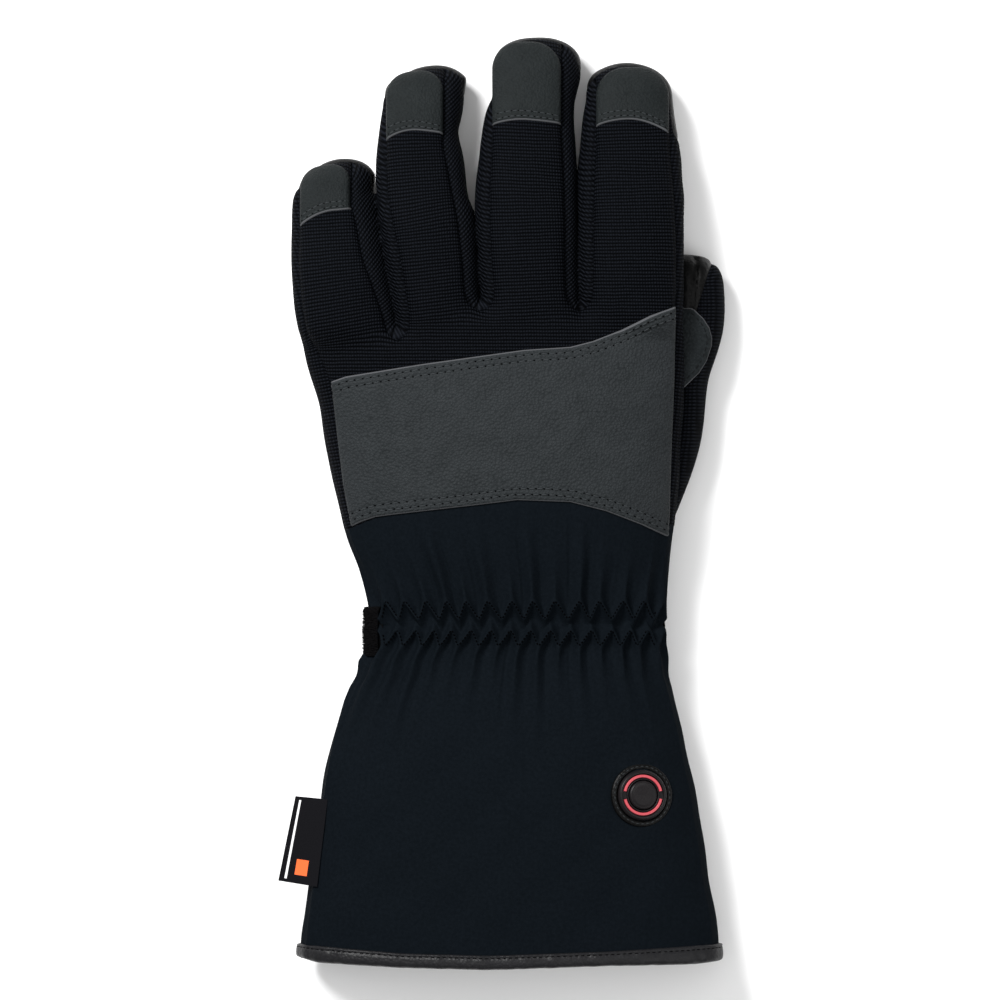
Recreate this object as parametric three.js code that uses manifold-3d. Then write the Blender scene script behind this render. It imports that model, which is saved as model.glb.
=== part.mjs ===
import * as THREE from "three";
import { mergeVertices } from "three/addons/utils/BufferGeometryUtils.js";
import Module from "manifold-3d";

// Padded heated glove for the left hand, lying palm down.
// Millimetres. +Y points to the fingertips, +X to the thumb, +Z out of the back of the hand.

const wasm = await Module();
wasm.setup();

// Walls and clearances
const wall = 3.8;
const leather = 1.2;
const gap = 0.3;
const fingerGap = 1.0;
const pressed = 1.2;

// Hand
const knuckleWidth = 137;
const wristWidth = 104;
const wristOffset = 5;
const knuckleOffset = -3;
const handLength = 114;
const palmTop = 41;
const wristTop = 33;
const wristLift = 6.5;
const knuckleLift = 14;

// Cuff
const cuffLength = 124;
const mouthWidth = 148.5;
const cuffTop = 39;
const bindingWidth = 8;

// Elastic gathers at the wrist
const gatherCount = 30;
const gatherDepth = 1.5;
const gatherReach = 27;

// Fingers
const littleLength = 61;
const ringLength = 89;
const middleLength = 95;
const indexLength = 87;
const fingerHeight = 27;
const fingerRise = 27;
const rootLength = 34;
const tipRound = 12;

// Thumb
const thumbLength = 113;
const thumbWidth = 26;
const thumbHeight = 23;
const thumbCrotch = 100;

// Wrist strap
const strapWidth = 18;
const strapThickness = 1.8;

// Label folded into the side seam
const labelLength = 31;
const labelWidth = 13;
const labelThickness = 1.4;

// Heat button
const patchRadius = 11.2;
const bodyRadius = 9;
const bodyRise = 1.7;
const lightRadius = 7.4;
const lightWidth = 1.1;
const capRadius = 5.2;
const capTravel = 0.6;

// The wrist line lies between the two elastic rows.
const wristY = 0;
const hemY = wristY - cuffLength;

// Sections of the hand from the wrist to the finger crotches.
// along is a share of the hand length, width runs from the wrist to the knuckles, lean from the
// wrist offset to the knuckle offset, arch and waist are shares of the two lifts, top runs from
// the wrist top to the palm top, and full scales the height where the hand closes.
const handRows = [
  { along: -0.02, width: 0.00, lean: 0.00, waist: 1.00, arch: 0.00, top: 0.00, full: 1.00 },
  { along: 0.12, width: 0.12, lean: 0.03, waist: 0.62, arch: 0.00, top: 0.16, full: 1.00 },
  { along: 0.21, width: 0.31, lean: 0.18, waist: 0.25, arch: 0.00, top: 0.42, full: 1.00 },
  { along: 0.31, width: 0.44, lean: 0.36, waist: 0.00, arch: 0.00, top: 0.64, full: 1.00 },
  { along: 0.41, width: 0.56, lean: 0.44, waist: 0.00, arch: 0.02, top: 0.80, full: 1.00 },
  { along: 0.55, width: 0.71, lean: 0.56, waist: 0.00, arch: 0.14, top: 0.94, full: 1.00 },
  { along: 0.69, width: 0.82, lean: 0.66, waist: 0.00, arch: 0.42, top: 1.00, full: 1.00 },
  { along: 0.83, width: 0.94, lean: 0.90, waist: 0.00, arch: 0.80, top: 0.97, full: 1.00 },
  { along: 0.91, width: 0.97, lean: 1.00, waist: 0.00, arch: 0.96, top: 0.90, full: 0.88 },
  { along: 0.96, width: 0.93, lean: 1.00, waist: 0.00, arch: 1.00, top: 0.86, full: 0.60 },
];

// Sections of the cuff from the wrist to the hem. width runs from the wrist to the mouth,
// lean is a share of the wrist offset and top runs from the wrist top to the cuff top.
const cuffRows = [
  { along: -0.04, width: 0.00, lean: 1.00, waist: 1.00, top: 0.00 },
  { along: 0.07, width: 0.03, lean: 0.93, waist: 0.92, top: 0.10 },
  { along: 0.15, width: 0.14, lean: 0.83, waist: 0.66, top: 0.32 },
  { along: 0.24, width: 0.34, lean: 0.66, waist: 0.32, top: 0.62 },
  { along: 0.37, width: 0.53, lean: 0.56, waist: 0.04, top: 0.88 },
  { along: 0.50, width: 0.67, lean: 0.50, waist: 0.00, top: 1.00 },
  { along: 0.63, width: 0.78, lean: 0.56, waist: 0.00, top: 1.02 },
  { along: 0.76, width: 0.89, lean: 0.54, waist: 0.00, top: 1.00 },
  { along: 0.93, width: 1.00, lean: 0.60, waist: 0.00, top: 0.94 },
  { along: 1.05, width: 1.00, lean: 0.62, waist: 0.00, top: 0.90 },
];

// Gathers, along is a share of the gather reach from the wrist line, plus towards the fingers.
// wave and puff are shares of the gather depth.
const gatherRows = [
  { along: 0.80, wave: 0.00, puff: 0.00 },
  { along: 0.52, wave: 0.45, puff: 0.10 },
  { along: 0.33, wave: 0.90, puff: 0.15 },
  { along: 0.19, wave: 0.60, puff: -0.55 },
  { along: 0.00, wave: 1.00, puff: 0.35 },
  { along: -0.19, wave: 0.60, puff: -0.55 },
  { along: -0.34, wave: 0.95, puff: 0.20 },
  { along: -0.60, wave: 0.60, puff: 0.15 },
  { along: -1.00, wave: 0.00, puff: 0.00 },
];

// Fingers in order from the little finger. width is a share of the knuckle width, crotch is the
// root's place as a share of the hand length, lean and bow are shares of the finger's length, and
// the seams are shares of its half width.
const fingers = [
  {
    name: "little", length: littleLength, width: 0.246, crotch: 0.925, lean: -0.045, bow: -0.050,
    root: 0.055, seamLeft: -0.86, seamRight: 0.60, hemLeft: 0.58, hemMiddle: 0.70, hemRight: 0.74,
  },
  {
    name: "ring", length: ringLength, width: 0.225, crotch: 0.975, lean: -0.035, bow: -0.050,
    root: 0.020, seamLeft: -0.84, seamRight: 0.68, hemLeft: 0.68, hemMiddle: 0.74, hemRight: 0.72,
  },
  {
    name: "middle", length: middleLength, width: 0.253, crotch: 1.010, lean: 0.033, bow: -0.026,
    root: -0.015, seamLeft: -0.82, seamRight: 0.78, hemLeft: 0.65, hemMiddle: 0.69, hemRight: 0.68,
  },
  {
    name: "index", length: indexLength, width: 0.276, crotch: 1.000, lean: -0.010, bow: 0.000,
    root: -0.060, seamLeft: -0.74, seamRight: 0.84, hemLeft: 0.72, hemMiddle: 0.77, hemRight: 0.68,
  },
];

// Finger sections. along is a share of the finger length, width and height are shares of the
// finger's own, lift is a share of the rise of the knuckles over the tips.
const fingerRows = [
  { along: -1.00, width: 0.70, height: 0.70, lift: 0.62 },
  { along: -0.50, width: 0.90, height: 0.90, lift: 0.88 },
  { along: 0.00, width: 1.00, height: 1.00, lift: 1.00 },
  { along: 0.33, width: 1.00, height: 0.99, lift: 0.90 },
  { along: 0.66, width: 0.92, height: 0.90, lift: 0.46 },
  { along: 1.00, width: 0.91, height: 0.84, lift: 0.00 },
];

// Thumb sections. along is a share of the thumb length, out is the middle's offset from the
// palm's edge as a share of the thumb width, and width and height are shares of the thumb's.
const thumbRows = [
  { along: 0.00, out: -0.86, width: 0.66, height: 0.80 },
  { along: 0.12, out: -0.66, width: 0.84, height: 0.92 },
  { along: 0.25, out: -0.48, width: 0.94, height: 1.00 },
  { along: 0.43, out: -0.25, width: 1.00, height: 1.02 },
  { along: 0.63, out: -0.14, width: 1.00, height: 1.00 },
  { along: 0.80, out: 0.07, width: 1.00, height: 0.96 },
  { along: 1.00, out: 0.09, width: 0.92, height: 0.92 },
];

// Round end of a finger. left is a share of the tip round still to go.
const tipRows = [
  { left: 1.00 },
  { left: 0.50 },
  { left: 0.20 },
  { left: 0.03 },
];

// Outline of the grey knuckle panel. across is a share of half the knuckle width from the hand's
// middle, along a share of the hand length.
const panelRows = [
  { across: -0.795, along: 0.305 },
  { across: -0.590, along: 0.342 },
  { across: -0.120, along: 0.372 },
  { across: 0.080, along: 0.388 },
  { across: 0.360, along: 0.386 },
  { across: 0.550, along: 0.353 },
  { across: 0.885, along: 0.270 },
  { across: 0.905, along: 0.520 },
  { across: 0.905, along: 0.800 },
  { across: 0.921, along: 0.990 },
  { across: 0.775, along: 0.960 },
  { across: 0.628, along: 0.916 },
  { across: 0.480, along: 0.880 },
  { across: 0.118, along: 0.853 },
  { across: -0.418, along: 0.808 },
  { across: -0.812, along: 0.770 },
  { across: -0.898, along: 0.753 },
  { across: -0.870, along: 0.600 },
  { across: -0.838, along: 0.438 },
];

// Half disc of grey leather in the thumb crotch. across is a share of the thumb width from the
// palm's edge, along a share of the hand length.
const thumbPatchRows = [
  { across: -0.04, along: 0.745 },
  { across: 0.12, along: 0.790 },
  { across: 0.26, along: 0.830 },
  { across: 0.36, along: 0.885 },
  { across: 0.34, along: 0.935 },
  { across: 0.22, along: 0.975 },
  { across: 0.08, along: 1.000 },
  { across: -0.04, along: 1.005 },
];

const palmSeam = -0.32;
const cuffSeam = 0.35;
const thumbSeam = 0.45;
const boxReach = 90;
const buttonSides = 20;

function mix(from, to, share) {
  return from + (to - from) * share;
}

// Reads a column of a table at a place between its rows, along a smooth curve.
function readRow(rows, column, along) {
  const rising = rows[rows.length - 1].along > rows[0].along;
  const ordered = rising ? rows : [...rows].reverse();
  let index = 0;
  while (index < ordered.length - 2 && along > ordered[index + 1].along) {
    index += 1;
  }
  const here = ordered[index];
  const next = ordered[index + 1];
  const before = ordered[Math.max(index - 1, 0)];
  const after = ordered[Math.min(index + 2, ordered.length - 1)];
  const span = next.along - here.along;
  const share = THREE.MathUtils.clamp((along - here.along) / span, 0, 1);
  const slopeHere = ((next[column] - before[column]) / (next.along - before.along)) * span;
  const slopeNext = ((after[column] - here[column]) / (after.along - here.along)) * span;
  const squared = share * share;
  const cubed = squared * share;
  return (2 * cubed - 3 * squared + 1) * here[column]
    + (cubed - 2 * squared + share) * slopeHere
    + (3 * squared - 2 * cubed) * next[column]
    + (cubed - squared) * slopeNext;
}

// Makes a solid of a closed geometry.
function solidOf(geometry) {
  const bare = geometry.clone();
  bare.deleteAttribute("normal");
  bare.deleteAttribute("uv");
  const merged = mergeVertices(bare, 1e-4);
  return new wasm.Manifold(new wasm.Mesh({
    numProp: 3,
    vertProperties: new Float32Array(merged.attributes.position.array),
    triVerts: new Uint32Array(merged.index.array),
  }));
}

// Skins a row of rings and closes both ends. A ring may have half or twice the points of the next.
function loft(rings) {
  const positions = [];
  const starts = [];
  const faces = [];
  for (const ring of rings) {
    starts.push(positions.length / 3);
    for (const point of ring) {
      positions.push(point.x, point.y, point.z);
    }
  }
  for (let row = 0; row < rings.length - 1; row += 1) {
    const here = rings[row].length;
    const next = rings[row + 1].length;
    const turns = Math.max(here, next);
    for (let k = 0; k < turns; k += 1) {
      const a = starts[row] + Math.floor((k * here) / turns);
      const b = starts[row] + (Math.floor(((k + 1) * here) / turns) % here);
      const c = starts[row + 1] + Math.floor((k * next) / turns);
      const d = starts[row + 1] + (Math.floor(((k + 1) * next) / turns) % next);
      if (a !== b) {
        faces.push(a, b, c);
      }
      if (c !== d) {
        faces.push(b, d, c);
      }
    }
  }
  for (const last of [false, true]) {
    const row = last ? rings.length - 1 : 0;
    const count = rings[row].length;
    const middle = rings[row].reduce((sum, point) => sum.add(point), new THREE.Vector3());
    middle.divideScalar(count);
    const hub = positions.length / 3;
    positions.push(middle.x, middle.y, middle.z);
    for (let k = 0; k < count; k += 1) {
      const a = starts[row] + k;
      const b = starts[row] + ((k + 1) % count);
      faces.push(...(last ? [a, b, hub] : [b, a, hub]));
    }
  }
  const geometry = new THREE.BufferGeometry();
  geometry.setAttribute("position", new THREE.Float32BufferAttribute(positions, 3));
  geometry.setIndex(faces);
  return solidOf(geometry);
}

// Joins all the solids of a list.
function joinAll(solids) {
  return solids.reduce((sum, solid) => sum.add(solid));
}

// Plan outline pushed up from one height to another.
function prism(points, low, high) {
  const shape = new THREE.Shape(points.map((point) => new THREE.Vector2(point.x, point.y)));
  const geometry = new THREE.ExtrudeGeometry(shape, { depth: high - low, bevelEnabled: false });
  geometry.translate(0, 0, low);
  return solidOf(geometry);
}

// The upright axis of a turned piece is its local Z.
function turned(profile) {
  const points = profile.map((row) => new THREE.Vector2(row.radius, row.height));
  const geometry = new THREE.LatheGeometry(points, buttonSides);
  geometry.rotateX(Math.PI / 2);
  return solidOf(geometry);
}

// Keeps the biggest body of a solid that a cut has left in several.
function biggest(solid) {
  const bodies = solid.decompose();
  return bodies.reduce((best, body) => (body.volume() > best.volume() ? body : best));
}

function power(value, square) {
  return Math.sign(value) * Math.abs(value) ** (2 / square);
}

// Flattened oval section. It is pressed flat where it would pass through the floor.
function ovalRing({ x, y, side, half, top, bottom, middle, count, square, squareLow, floor = 0 }) {
  const ring = [];
  for (let k = 0; k < count; k += 1) {
    const angle = (2 * Math.PI * k) / count;
    const low = Math.sin(angle) < 0;
    const shape = low ? squareLow : square;
    const across = half * power(Math.cos(angle), shape);
    const up = power(Math.sin(angle), shape);
    const z = low ? middle + (middle - bottom) * up : middle + (top - middle) * up;
    ring.push(new THREE.Vector3(x + side.x * across, y + side.y * across, Math.max(z, floor)));
  }
  return ring;
}

// Spaces the points of a ring evenly along it.
function evenRing(ring, count) {
  const lengths = [0];
  for (let k = 0; k < ring.length; k += 1) {
    lengths.push(lengths[k] + ring[k].distanceTo(ring[(k + 1) % ring.length]));
  }
  const total = lengths[ring.length];
  const even = [];
  let k = 0;
  for (let step = 0; step < count; step += 1) {
    const place = (total * step) / count;
    while (lengths[k + 1] < place) {
      k += 1;
    }
    const share = (place - lengths[k]) / (lengths[k + 1] - lengths[k]);
    even.push(ring[k].clone().lerp(ring[(k + 1) % ring.length], share));
  }
  return even;
}

const acrossHand = new THREE.Vector2(1, 0);
const bodySquare = 2.35;
const bodySquareLow = 3.2;
const bodyMiddle = 0.46;
const fineRing = 240;

// Named sizes of the hand and cuff section at one place along the glove.
function bodySection(y) {
  if (y >= wristY) {
    const along = (y - wristY) / handLength;
    const width = mix(wristWidth, knuckleWidth, readRow(handRows, "width", along));
    const x = mix(wristOffset, knuckleOffset, readRow(handRows, "lean", along));
    const lift = wristLift * readRow(handRows, "waist", along)
      + knuckleLift * readRow(handRows, "arch", along);
    const top = mix(wristTop, palmTop, readRow(handRows, "top", along));
    const full = readRow(handRows, "full", along);
    const bottom = lift - pressed;
    const middle = mix(bottom, top, bodyMiddle);
    return {
      x, half: width / 2, middle,
      top: mix(middle, top, full),
      bottom: mix(middle, bottom, full),
    };
  }
  const along = (wristY - y) / cuffLength;
  const width = mix(wristWidth, mouthWidth, readRow(cuffRows, "width", along));
  const x = wristOffset * readRow(cuffRows, "lean", along);
  const bottom = wristLift * readRow(cuffRows, "waist", along) - pressed;
  const top = mix(wristTop, cuffTop, readRow(cuffRows, "top", along));
  return { x, half: width / 2, middle: mix(bottom, top, bodyMiddle), top, bottom };
}

// Near the hem the cloth is raised by the binding that passes under it.
function hemRise(y) {
  const share = (y - hemY - bindingWidth) / bindingWidth;
  return (leather + gap) * (1 - THREE.MathUtils.smoothstep(share, 0.2, 1));
}

function bodyRing(y, grow, count) {
  const section = bodySection(y);
  const rise = hemRise(y);
  const fine = ovalRing({
    x: section.x, y, side: acrossHand, half: section.half + grow, top: section.top + grow,
    bottom: section.bottom - grow, middle: section.middle, count: fineRing,
    square: bodySquare, squareLow: bodySquareLow,
    floor: grow < 0 ? rise - grow - pressed : Math.max(rise - grow, 0),
  });
  return evenRing(fine, count);
}

// Body ring whose points stand in and out by turns where the elastic gathers the cloth.
function gatheredRing(y, count) {
  const ring = bodyRing(y, 0, count);
  const along = (y - wristY) / gatherReach;
  const inside = along < gatherRows[0].along && along > gatherRows[gatherRows.length - 1].along;
  const wave = inside ? readRow(gatherRows, "wave", along) * gatherDepth : 0;
  const puff = inside ? readRow(gatherRows, "puff", along) * gatherDepth : 0;
  return ring.map((point, k) => {
    const ahead = ring[(k + 1) % count];
    const behind = ring[(k + count - 1) % count];
    const outward = new THREE.Vector3(ahead.z - behind.z, 0, behind.x - ahead.x).normalize();
    const step = puff + (k % 2 === 0 ? wave : -wave);
    const moved = point.clone().addScaledVector(outward, step);
    moved.z = Math.max(moved.z, hemRise(y));
    return moved;
  });
}

const handShares = [0.12, 0.28, 0.44, 0.62, 0.78, 0.90, 0.96];

function handStations() {
  return handShares.map((share) => wristY + share * handLength);
}

// Hand without fingers, its surface moved out by grow.
function handBody(grow, count) {
  const stations = handStations();
  const last = stations.length - 1;
  stations[last] += grow;
  return loft(stations.map((y, index) => {
    const ring = bodyRing(wristY + handShares[index] * handLength, grow, count);
    ring.forEach((point) => { point.y = y; });
    return ring;
  }).reverse());
}

// Place, half width, half height and middle height of a finger's axis.
function fingerPlace(finger, along) {
  const index = fingers.indexOf(finger);
  const before = fingers.slice(0, index).reduce((sum, other) => sum + other.width, 0);
  const left = knuckleOffset - knuckleWidth / 2;
  const baseX = left + knuckleWidth * (before + finger.width / 2);
  const baseY = wristY + handLength * finger.crotch;
  const back = Math.min(along, 0);
  const ahead = Math.max(along, 0);
  const row = (column) => readRow(fingerRows, column, along);
  const halfHeight = (fingerHeight / 2) * row("height");
  const rest = (fingerHeight / 2) * fingerRows[fingerRows.length - 1].height - pressed;
  return {
    x: baseX + finger.length * (finger.lean * ahead + finger.bow * Math.sin(Math.PI * ahead))
      + knuckleWidth * finger.root * back * back,
    y: baseY + finger.length * ahead + rootLength * back,
    z: mix(rest, fingerRise, row("lift")),
    half: (knuckleWidth * finger.width * row("width")) / 2,
    halfHeight,
  };
}

const fingerSquare = 2.3;
const tipLength = leather + gap;

function roundedEnd(left) {
  return Math.sqrt(1 - (1 - left) ** 2);
}

function fingerRing(place, ahead, grow, round, count) {
  const heading = new THREE.Vector2(ahead.x - place.x, ahead.y - place.y).normalize();
  const halfHeight = (place.halfHeight + grow) * round;
  return ovalRing({
    x: place.x, y: place.y, side: new THREE.Vector2(heading.y, -heading.x),
    half: (place.half + grow) * round, top: place.z + halfHeight, bottom: place.z - halfHeight,
    middle: place.z, count, square: fingerSquare, squareLow: fingerSquare,
  });
}

// The hollow's end needs fewer rings than the outside.
function endRows(grow) {
  return grow < 0 ? tipRows.filter((row, index) => index !== 1) : tipRows;
}

// Finger tube from its root inside the hand to its round tip.
function fingerTube(finger, grow, count) {
  const end = finger.length - tipLength + grow;
  const roundStart = (end - tipRound - grow) / finger.length;
  const rings = [];
  for (const row of fingerRows) {
    if (row.along < roundStart - 0.05) {
      const place = fingerPlace(finger, row.along);
      rings.push(fingerRing(place, fingerPlace(finger, row.along + 0.01), grow, 1, count));
    }
  }
  for (const row of endRows(grow)) {
    const along = (end - (tipRound + grow) * row.left) / finger.length;
    const place = fingerPlace(finger, along);
    const ahead = fingerPlace(finger, along + 0.01);
    rings.push(fingerRing(place, ahead, grow, roundedEnd(row.left), count));
  }
  return loft(rings.reverse());
}

// Thin upright wall between two neighbouring fingers, from the crotch to the shorter one's tip.
function fingerSlit(first, second) {
  const crotch = wristY + handLength * Math.max(first.crotch, second.crotch);
  const shareAt = (finger, y) => (y - wristY - handLength * finger.crotch) / finger.length;
  const tipOf = (finger) => wristY + handLength * finger.crotch + finger.length;
  const end = Math.min(tipOf(first), tipOf(second)) - tipRound / 2;
  const steps = 4;
  const left = [];
  const right = [];
  for (let step = 0; step <= steps; step += 1) {
    const y = mix(crotch, end, step / steps);
    const one = fingerPlace(first, shareAt(first, y));
    const two = fingerPlace(second, shareAt(second, y));
    const x = (one.x + one.half + two.x - two.half) / 2;
    left.push({ x: x - fingerGap / 2, y });
    right.unshift({ x: x + fingerGap / 2, y });
  }
  return prism([...left, ...right], -10, boxReach);
}

const palmEdge = knuckleOffset + knuckleWidth / 2;
const thumbRootY = wristY + 18;

function thumbPlace(along) {
  const row = (column) => readRow(thumbRows, column, along);
  const halfHeight = (thumbHeight / 2) * row("height");
  return {
    x: palmEdge + thumbWidth * row("out"),
    y: thumbRootY + thumbLength * along,
    z: halfHeight - pressed,
    half: (thumbWidth / 2) * row("width"),
    halfHeight,
  };
}

function thumbTube(grow, count) {
  const end = thumbLength + grow;
  const roundStart = (end - tipRound - grow) / thumbLength;
  const rings = [];
  for (const row of thumbRows) {
    if (row.along < roundStart - 0.05) {
      const place = thumbPlace(row.along);
      rings.push(fingerRing(place, thumbPlace(row.along + 0.01), grow, 1, count));
    }
  }
  for (const row of endRows(grow)) {
    const along = (end - (tipRound + grow) * row.left) / thumbLength;
    const place = thumbPlace(along);
    rings.push(fingerRing(place, thumbPlace(along + 0.01), grow, roundedEnd(row.left), count));
  }
  return loft(rings.reverse());
}

const handCount = 30;
const fingerCount = 12;
const innerHandCount = 14;
const innerFingerCount = 8;
const innerCuffCount = 20;

// Hand and fingers as one solid, its surface moved out by grow.
function wholeHand(grow, bodyCount, tubeCount) {
  const tubes = fingers.map((finger) => fingerTube(finger, grow, tubeCount));
  return joinAll([handBody(grow, bodyCount), ...tubes]);
}

const slits = joinAll(fingers.slice(1).map((finger, index) => fingerSlit(fingers[index], finger)));
const handOuter = wholeHand(0, handCount, fingerCount).subtract(slits);
const handClear = wholeHand(gap, handCount, fingerCount);
const handLeather = wholeHand(gap + leather, handCount, fingerCount);

// Everything of the glove on the finger side of a place along it.
function beyond(y) {
  return prism([
    { x: -150, y }, { x: 150, y }, { x: 150, y: y + 400 }, { x: -150, y: y + 400 },
  ], -50, 100);
}

const crotchY = wristY + thumbCrotch;
const thumbFree = wholeHand(gap + wall, handCount, fingerCount).intersect(beyond(crotchY));
const thumbInner = thumbTube(-wall, innerFingerCount).subtract(thumbFree);
const handInner = wholeHand(-wall, innerHandCount, innerFingerCount).add(thumbInner);

// The seam between the hand and the cuff bows towards the fingers in the middle.
function cuffSeamLine(shift) {
  const points = [];
  const steps = 6;
  for (let step = 0; step <= steps; step += 1) {
    const across = mix(-1, 1, step / steps);
    const y = wristY + handLength * (0.41 - 0.22 * across * across) + shift;
    points.push({ x: wristOffset + across * knuckleWidth * 0.6, y });
  }
  return points;
}

function handSide(shift) {
  const line = cuffSeamLine(shift);
  const far = wristY + handLength * 3;
  return prism([...line, { x: line[line.length - 1].x, y: far }, { x: line[0].x, y: far }], -50, 100);
}

function cuffSide(shift) {
  const line = cuffSeamLine(shift);
  const far = hemY - cuffLength;
  const back = [{ x: line[line.length - 1].x, y: far }, { x: line[0].x, y: far }];
  return prism([...line, ...back].reverse(), -50, 100);
}

// Block under the palm seam, which follows every finger.
function seamBlock(shift) {
  const strips = fingers.map((finger) => {
    const rings = fingerRows.map((row) => {
      const along = row.along === 1 ? 1.2 : row.along;
      const place = fingerPlace(finger, along);
      const high = place.z + palmSeam * place.halfHeight + shift;
      const reach = place.half + fingerGap / 2;
      return blockRing(place.x - reach, place.x + reach, place.y, -40, high);
    });
    return loft(rings.reverse());
  });
  const rings = handStations().slice(0, -1).map((y) => {
    const section = bodySection(y);
    const high = section.middle + palmSeam * (section.middle - section.bottom) + shift;
    return blockRing(-boxReach, boxReach, y, -40, high);
  });
  return joinAll([...strips, loft(rings.reverse())]);
}

function blockRing(left, right, y, low, high) {
  return [
    new THREE.Vector3(right, y, low), new THREE.Vector3(right, y, high),
    new THREE.Vector3(left, y, high), new THREE.Vector3(left, y, low),
  ];
}

// Blocks that hold the back of the hand and of each finger, between their side seams.
function backBlock(finger, shift) {
  const rings = fingerRows.map((row) => {
    const along = row.along === 1 ? 1.2 : row.along;
    const place = fingerPlace(finger, along);
    const left = place.x + finger.seamLeft * place.half - shift;
    const right = place.x + finger.seamRight * place.half + shift;
    return blockRing(left, right, place.y, place.z - place.halfHeight, boxReach);
  });
  return loft(rings.reverse());
}

function handBackBlock(shift) {
  const stations = handStations().filter((y, index) => index % 2 === 0);
  const rings = stations.slice(0, -1).map((y) => {
    const section = bodySection(y);
    const left = section.x - section.half * 0.95 - shift;
    const right = section.x + section.half * 0.95 + shift;
    return blockRing(left, right, y, section.middle, boxReach);
  });
  return loft(rings.reverse());
}

function backBlocks(shift) {
  return joinAll([handBackBlock(shift), ...fingers.map((finger) => backBlock(finger, shift))]);
}

const handShell = handOuter.subtract(handInner).intersect(handSide(gap / 2));
const palmPanel = handShell.intersect(seamBlock(-gap / 2));
const upperShell = handShell.subtract(seamBlock(gap / 2));
const backPanel = upperShell.intersect(backBlocks(-gap / 2));
const sideShell = upperShell.subtract(backBlocks(gap / 2));

// Region between the middles of two neighbouring fingers, or outside the outer ones.
function sideRegion(first, second) {
  const edge = (finger) => fingerRows.map((row) => {
    const place = fingerPlace(finger, row.along === 1 ? 1.3 : row.along);
    return { x: place.x, y: place.y };
  });
  const near = wristY - 20;
  const far = wristY + handLength * 2.2;
  const left = first ? edge(first) : [{ x: -boxReach, y: near }, { x: -boxReach, y: far }];
  const right = second ? edge(second) : [{ x: boxReach, y: near }, { x: boxReach, y: far }];
  const lowLeft = { x: left[0].x, y: near };
  const lowRight = { x: right[0].x, y: near };
  return prism([lowRight, ...right, ...left.reverse(), lowLeft], -20, boxReach);
}

const strips = [
  ["side_little", null, fingers[0]],
  ["fourchette_little_ring", fingers[0], fingers[1]],
  ["fourchette_ring_middle", fingers[1], fingers[2]],
  ["fourchette_middle_index", fingers[2], fingers[3]],
  ["side_index", fingers[3], null],
];

// Grey leather caps over the fingertips.
function fingertipCap(finger) {
  const hem = [];
  const steps = 6;
  for (let step = 0; step <= steps; step += 1) {
    const across = mix(-1, 1, step / steps);
    const side = across < 0 ? finger.hemLeft : finger.hemRight;
    const place = fingerPlace(finger, mix(finger.hemMiddle, side, across * across));
    hem.push({ x: place.x + across * place.half * 1.4, y: place.y });
  }
  const far = hem[0].y + finger.length;
  const region = prism([...hem, { x: hem[steps].x, y: far }, { x: hem[0].x, y: far }], 0, boxReach);
  const skin = fingerTube(finger, gap + leather, fingerCount)
    .subtract(fingerTube(finger, gap, fingerCount));
  return skin.intersect(region).intersect(backBlock(finger, -gap / 2)).subtract(seamBlock(2));
}

// Grey leather panel laid over the back of the hand.
function knucklePanel() {
  const outline = panelRows.map((row) => ({
    x: row.across * (knuckleWidth / 2), y: wristY + row.along * handLength,
  }));
  const above = bodySection(wristY + handLength / 2).middle + fingerHeight / 4;
  const cuffUnder = cuffBody(gap * 1.5, plainSides, cuffTopY, wristY + gatherReach / 2);
  return handLeather.subtract(handClear).subtract(cuffUnder)
    .intersect(prism(outline, above, boxReach));
}

// Thumb, sewn to the side of the palm
const thumbShell = thumbTube(0, fingerCount)
  .subtract(thumbInner)
  .subtract(handInner)
  .subtract(handClear)
  .intersect(handSide(gap / 2));

function thumbBackBlock(shift) {
  const rings = thumbRows.map((row) => {
    const place = thumbPlace(row.along === 1 ? 1.2 : row.along);
    const left = place.x + thumbSeam * place.half - shift;
    return blockRing(left, boxReach * 2, place.y, place.z - place.halfHeight / 2 - shift, boxReach);
  });
  return loft(rings.reverse());
}

function thumbPatch() {
  const outline = thumbPatchRows.map((row) => ({
    x: palmEdge + row.across * thumbWidth, y: wristY + row.along * handLength,
  }));
  const skin = thumbTube(gap + leather, fingerCount).subtract(thumbTube(gap, fingerCount));
  const above = thumbHeight / 2;
  return skin.intersect(prism(outline.reverse(), above, boxReach)).subtract(handClear);
}

// Cuff
const clothEdge = hemY + leather + gap;
const gatherSides = gatherCount * 2;
const plainSides = gatherCount;

function gatherStation(row) {
  return wristY + row.along * gatherReach;
}

function cuffStations() {
  const upper = wristY + handLength * 0.44;
  const lower = [0.37, 0.54, 0.72].map((share) => wristY - share * cuffLength);
  const hem = [hemY + bindingWidth * 2, hemY + bindingWidth * 1.2, clothEdge];
  return [upper, ...gatherRows.map(gatherStation), ...lower, ...hem];
}

const cuffOuter = loft(cuffStations().map((y) => {
  const gathered = y < gatherStation(gatherRows[0]) - 1 && y > wristY - gatherReach + 1;
  const ring = gatheredRing(y, gatherSides);
  return gathered ? ring : ring.filter((point, k) => k % 2 === 0);
}));

// Smooth body of the cuff between two places along the glove, its surface moved out by grow.
function cuffBody(grow, count, high, low) {
  const between = cuffStations().filter((y) => y < high - 1 && y > low + 1);
  const thinned = between.filter((y, index) => index % 2 === 0 || y < wristY - gatherReach);
  return loft([high, ...thinned, low].map((y) => bodyRing(y, grow, count)));
}

const cuffTopY = wristY + handLength * 0.5;
const cuffInner = cuffBody(-wall, innerCuffCount, cuffTopY, hemY - 10);
const cuffShell = cuffOuter.subtract(cuffInner).intersect(cuffSide(-gap / 2));

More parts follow.
